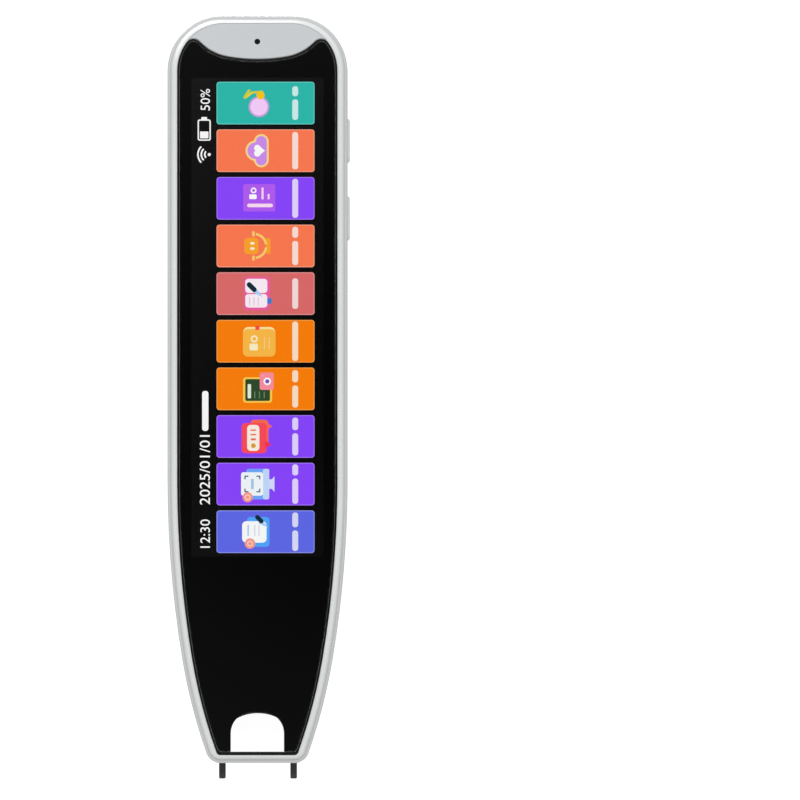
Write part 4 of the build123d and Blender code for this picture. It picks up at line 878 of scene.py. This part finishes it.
def camera_icon(art):
    tablet(art, "ffd050", 2, (-2.72, 2.8), (-2.64, 2.2), 0.55)
    tablet(art, "2d4a2a", 3, (-2.3, 2.4), (-2.3, 1.85), 0.3)
    tablet(art, "e9f2da", 4, (-1.85, -1.2), (-1.8, 0.9), 0.15)
    for x in (-0.5, 0.4, 1.3):
        tablet(art, "6f8a66", 4, (x - 0.1, x + 0.1), (-1.8, -0.5), 0.04)
    tablet(art, "ff90a0", 5, (0.45, 3.1), (-0.2, 3.1), 0.35)
    tablet(art, "ffb4bc", 6, (0.9, 1.15), (2.35, 2.6), 0.08)
    disc(art, "ffffff", 6, 1.88, 1.42, 0.72)
    disc(art, "7d50c8", 7, 1.88, 1.42, 0.4)


def speech_icon(art):
    tablet(art, "ff6a50", 2, (-1.3, 2.1), (-1.9, 3.2), 0.7)
    patch(art, "ff6a50", 2, [(1.7, 1.2), (2.85, 1.95), (1.7, 2.6)])
    tablet(art, "ff4a5a", 3, (-3.0, 1.75), (-3.2, 2.55), 0.7)
    patch(art, "ff3040", 3, [(1.5, -2.2), (2.65, -1.5), (1.5, -0.8)])
    tablet(art, "fff4e8", 4, (-1.95, 0.38), (-2.75, 2.2), 0.7)
    disc(art, "e0a030", 5, -0.75, -1.75, 0.45)
    tablet(art, "f07060", 5, (-1.25, -0.3), (-0.75, -0.35), 0.1)
    for y in (0.35, 1.2):
        stroke(art, "f07060", 5, (-1.2, y), (-0.35, y), 0.28)


def corner_mark(art, ink, level, x, y, across, along):
    """Two short strokes that meet in a corner."""
    stroke(art, ink, level, (x, y), (x + across, y), 0.24)
    stroke(art, ink, level, (x, y), (x, y + along), 0.24)


def monitor_icon(art):
    tablet(art, "6fa8ff", 2, (-2.1, 1.6), (-2.9, 2.9), 0.4)
    tablet(art, "c5dcff", 3, (1.05, 2.25), (-2.9, 2.9), 0.35)
    patch(art, "d8e0ff", 2, [(2.1, -0.9), (2.75, -0.9), (3.25, -1.5), (3.25, 1.5), (2.75, 0.9), (2.1, 0.9)])
    tablet(art, "f6fbff", 4, (-3.1, 1.1), (-2.2, 2.25), 0.45)
    for x, across in ((-2.35, 0.55), (0.45, -0.55)):
        for y, along in ((-1.45, 0.5), (1.5, -0.5)):
            corner_mark(art, "3a6a80", 5, x, y, across, along)
    tablet(art, "a8c8e8", 5, (-1.2, -0.7), (-0.95, 1.0), 0.1)
    disc(art, "ff9a8a", 6, -1.85, -2.5, 0.96)
    arc(art, "ffe0d0", 7, -1.85, -2.5, 0.45, 0.18)


def page_icon(art):
    tablet(art, "4fa8ff", 2, (-1.95, 2.3), (-2.85, 2.8), 0.6)
    tablet(art, "ffffff", 3, (-2.9, 1.75), (-2.08, 2.0), 0.8)
    for x in (-1.75, -0.5, 0.3):
        tablet(art, "a9cdf0" if x < -1 else "e2e8ee", 4, (x - 0.14, x + 0.14), (-0.8, 1.3), 0.06)
    patch(art, "a8d4ff", 4, [(0.55, 2.2), (1.35, 1.7), (2.05, 0.85), (1.0, 1.2), (0.2, 1.6)])
    stroke(art, "0b2a3a", 5, (0.0, 2.75), (0.75, 2.0), 0.85)
    disc(art, "ff9a8a", 5, -1.4, -2.25, 1.0)
    arc(art, "ffe0d0", 6, -1.4, -2.25, 0.46, 0.18)


icons = [music_icon, cloud_icon, card_icon, face_icon, book_icon,
         dictionary_icon, camera_icon, speech_icon, monitor_icon, page_icon]


def screen_icons():
    """A small plain picture on each button."""
    art = new_art()
    for y, icon in zip(tile_places, icons):
        old = set(art.verts)
        icon(art)
        made = [vert for vert in art.verts if vert not in old]
        bmesh.ops.translate(art, verts=made, vec=(0, y, 0))
    finished_art("screen_icons", art)


word_span = (6.63, 7.75)  # a word's bar, from its top to its foot
word_gap = 0.6
word_paleness = 0.78
word_corner = 0.5
word_lengths = [
    (3.9, 1.9), (7.1,), (7.4,), (4.6, 2.1), (5.8,), (7.5,), (4.2, 2.3), (4.2, 2.4), (4.8, 2.1), (3.9, 2.8),
]


def paler(ink, share):
    """A screen colour mixed with white."""
    parts = [int(ink[i : i + 2], 16) for i in (0, 2, 4)]
    return "".join(f"{round(part + (255 - part) * share):02x}" for part in parts)


def screen_words():
    """A plain rounded bar for each word under a button's picture."""
    art = new_art()
    for y, lengths, (ink, _) in zip(tile_places, word_lengths, tile_colours):
        start = y - (sum(lengths) + word_gap * (len(lengths) - 1)) / 2
        for length in lengths:
            tablet(art, paler(ink, word_paleness), 3, word_span, (start, start + length), word_corner)
            start += length + word_gap
    finished_art("screen_words", art)


status_line = -9.0  # where the status column's figures stand
status_ink = "ffffff"


def status_marks():
    """Charge, battery, signal, date and time, down the side of the display."""
    art = new_art()
    figures(art, status_ink, 1, "50%", status_line, 53.0, 4.1, 1.8)
    tablet(art, status_ink, 1, (-11.35, -8.85), (47.25, 51.3), 0.4)
    tablet(art, "000000", 2, (-11.1, -9.1), (47.5, 51.05), 0.22)
    tablet(art, status_ink, 1, (-10.65, -9.55), (51.2, 51.75), 0.15)
    tablet(art, status_ink, 3, (-10.9, -9.3), (47.7, 49.0), 0.08)
    disc(art, status_ink, 1, -9.15, 44.62, 0.3)
    for radius in (0.85, 1.5, 2.15):
        arc(art, status_ink, 1, -9.15, 44.62, radius, 0.3, 135.0, 90.0)
    figures(art, status_ink, 1, "2025/01/01", status_line, -21.9, 13.2, 1.95)
    tablet(art, status_ink, 1, (-10.5, -9.3), (-7.9, -0.3), 0.5)
    figures(art, status_ink, 1, "12:30", status_line, -30.1, 5.4, 1.85)
    finished_art("status_marks", art)


screen_tiles()
screen_icons()
screen_words()
status_marks()


# ---- small fittings ---------------------------------------------------------------------------------------


def brick(drawn, low, high):
    """A block between two corners."""
    made = bmesh.ops.create_cube(drawn, size=1.0)["verts"]
    bmesh.ops.scale(drawn, verts=made, vec=[end - start for start, end in zip(low, high)])
    bmesh.ops.translate(drawn, verts=made, vec=[(start + end) / 2 for start, end in zip(low, high)])


contact_count = 12
contact_pitch = 0.5
contact_half = 0.13
contact_depth = 0.02
contact_length = 2.2
contact_margin = 0.35


def usb_contacts():
    """Gold pads on both faces of the socket's tongue."""
    low, high = box_mm("usb_tongue")
    drawn = bmesh.new()
    front = high.y - contact_margin
    for face in (low.z, high.z):
        for n in range(contact_count):
            x = (n - (contact_count - 1) / 2) * contact_pitch
            start = (x - contact_half, front - contact_length, face - contact_depth)
            brick(drawn, start, (x + contact_half, front, face + contact_depth))
    gold = rolled_metal("contact_gold", "f0cf7a", "d8ad4a", 0.15, 0.25)
    add_piece("usb_contacts", drawn, gold)


part_size = (1.0, 0.5, 0.4)
part_end = 0.24
part_skin = 0.02  # how far the tinned ends stand proud of the body
part_pitch = (1.7, 1.15)
part_blocks = [  # first part's corner, columns and rows, on free ground of the main board
    ((-1.2, 14.2), 5, 7), ((8.6, 24.2), 3, 3), ((-12.2, 43.2), 2, 9), ((-4.8, 50.2), 4, 4),
    ((8.1, 31.4), 1, 12),
]


def board_parts():
    """Rows of ceramic capacitors and resistors with tinned ends."""
    bodies = {"chip_capacitors": bmesh.new(), "chip_resistors": bmesh.new()}
    ends = bmesh.new()
    base = box_mm("main_board")[1].z
    long, wide, tall = part_size
    for (x0, y0), columns, rows in part_blocks:
        for n in range(columns * rows):
            x = x0 + n % columns * part_pitch[X]
            y = y0 + n // columns * part_pitch[Y]
            kind = "chip_resistors" if (n + n // columns) % 3 == 0 else "chip_capacitors"
            core = (x + part_skin, y, base + part_skin)
            brick(bodies[kind], core, (x + long - part_skin, y + wide, base + tall))
            for start in (x, x + long - part_end):
                low = (start, y - part_skin, base)
                brick(ends, low, (start + part_end, y + wide + part_skin, base + tall + part_skin))
    add_piece("chip_capacitors", bodies["chip_capacitors"], ceramic)
    add_piece("chip_resistors", bodies["chip_resistors"], chip_black)
    add_piece("chip_ends", ends, tinned)


mic_mesh_centre = (0.0, 66.06)
mic_mesh_radius = 0.53
mic_mesh_levels = (11.93, 11.99)


def mic_mesh():
    """The black acoustic mesh at the bottom of the microphone's hole."""
    drawn = bmesh.new()
    low, high = mic_mesh_levels
    place = Matrix.Translation((*mic_mesh_centre, (low + high) / 2))
    bmesh.ops.create_cone(
        drawn, cap_ends=True, segments=40, radius1=mic_mesh_radius, radius2=mic_mesh_radius,
        depth=high - low, matrix=place,
    )
    add_piece("mic_mesh", drawn, dust_cloth)


mic_mesh()
ceramic = moulded("ceramic_tan", "c9a878", "ab8a5c", 0.5, 0.6)
board_parts()
usb_contacts()

# ---- room, camera and the end -----------------------------------------------------------------------------

softboxes = [  # name, place and aim in metres, its two sides, and its watts
    ("key_softbox", (-0.25, 0.45, 0.5), (0, 0, 0), (0.5, 0.4), 0.8),
    ("fill_softbox", (0.45, 0.1, 0.32), (0, 0, 0), (0.4, 0.6), 0.04),
    ("back_softbox", (-0.03, 0.17, -0.36), (0, 0.05, 0), (0.16, 0.1), 0.3),
]

studio_room()
studio_floor()
for softbox in softboxes:
    soft_light(*softbox)
camera_above()
bpy.context.scene.view_settings.view_transform = "Standard"
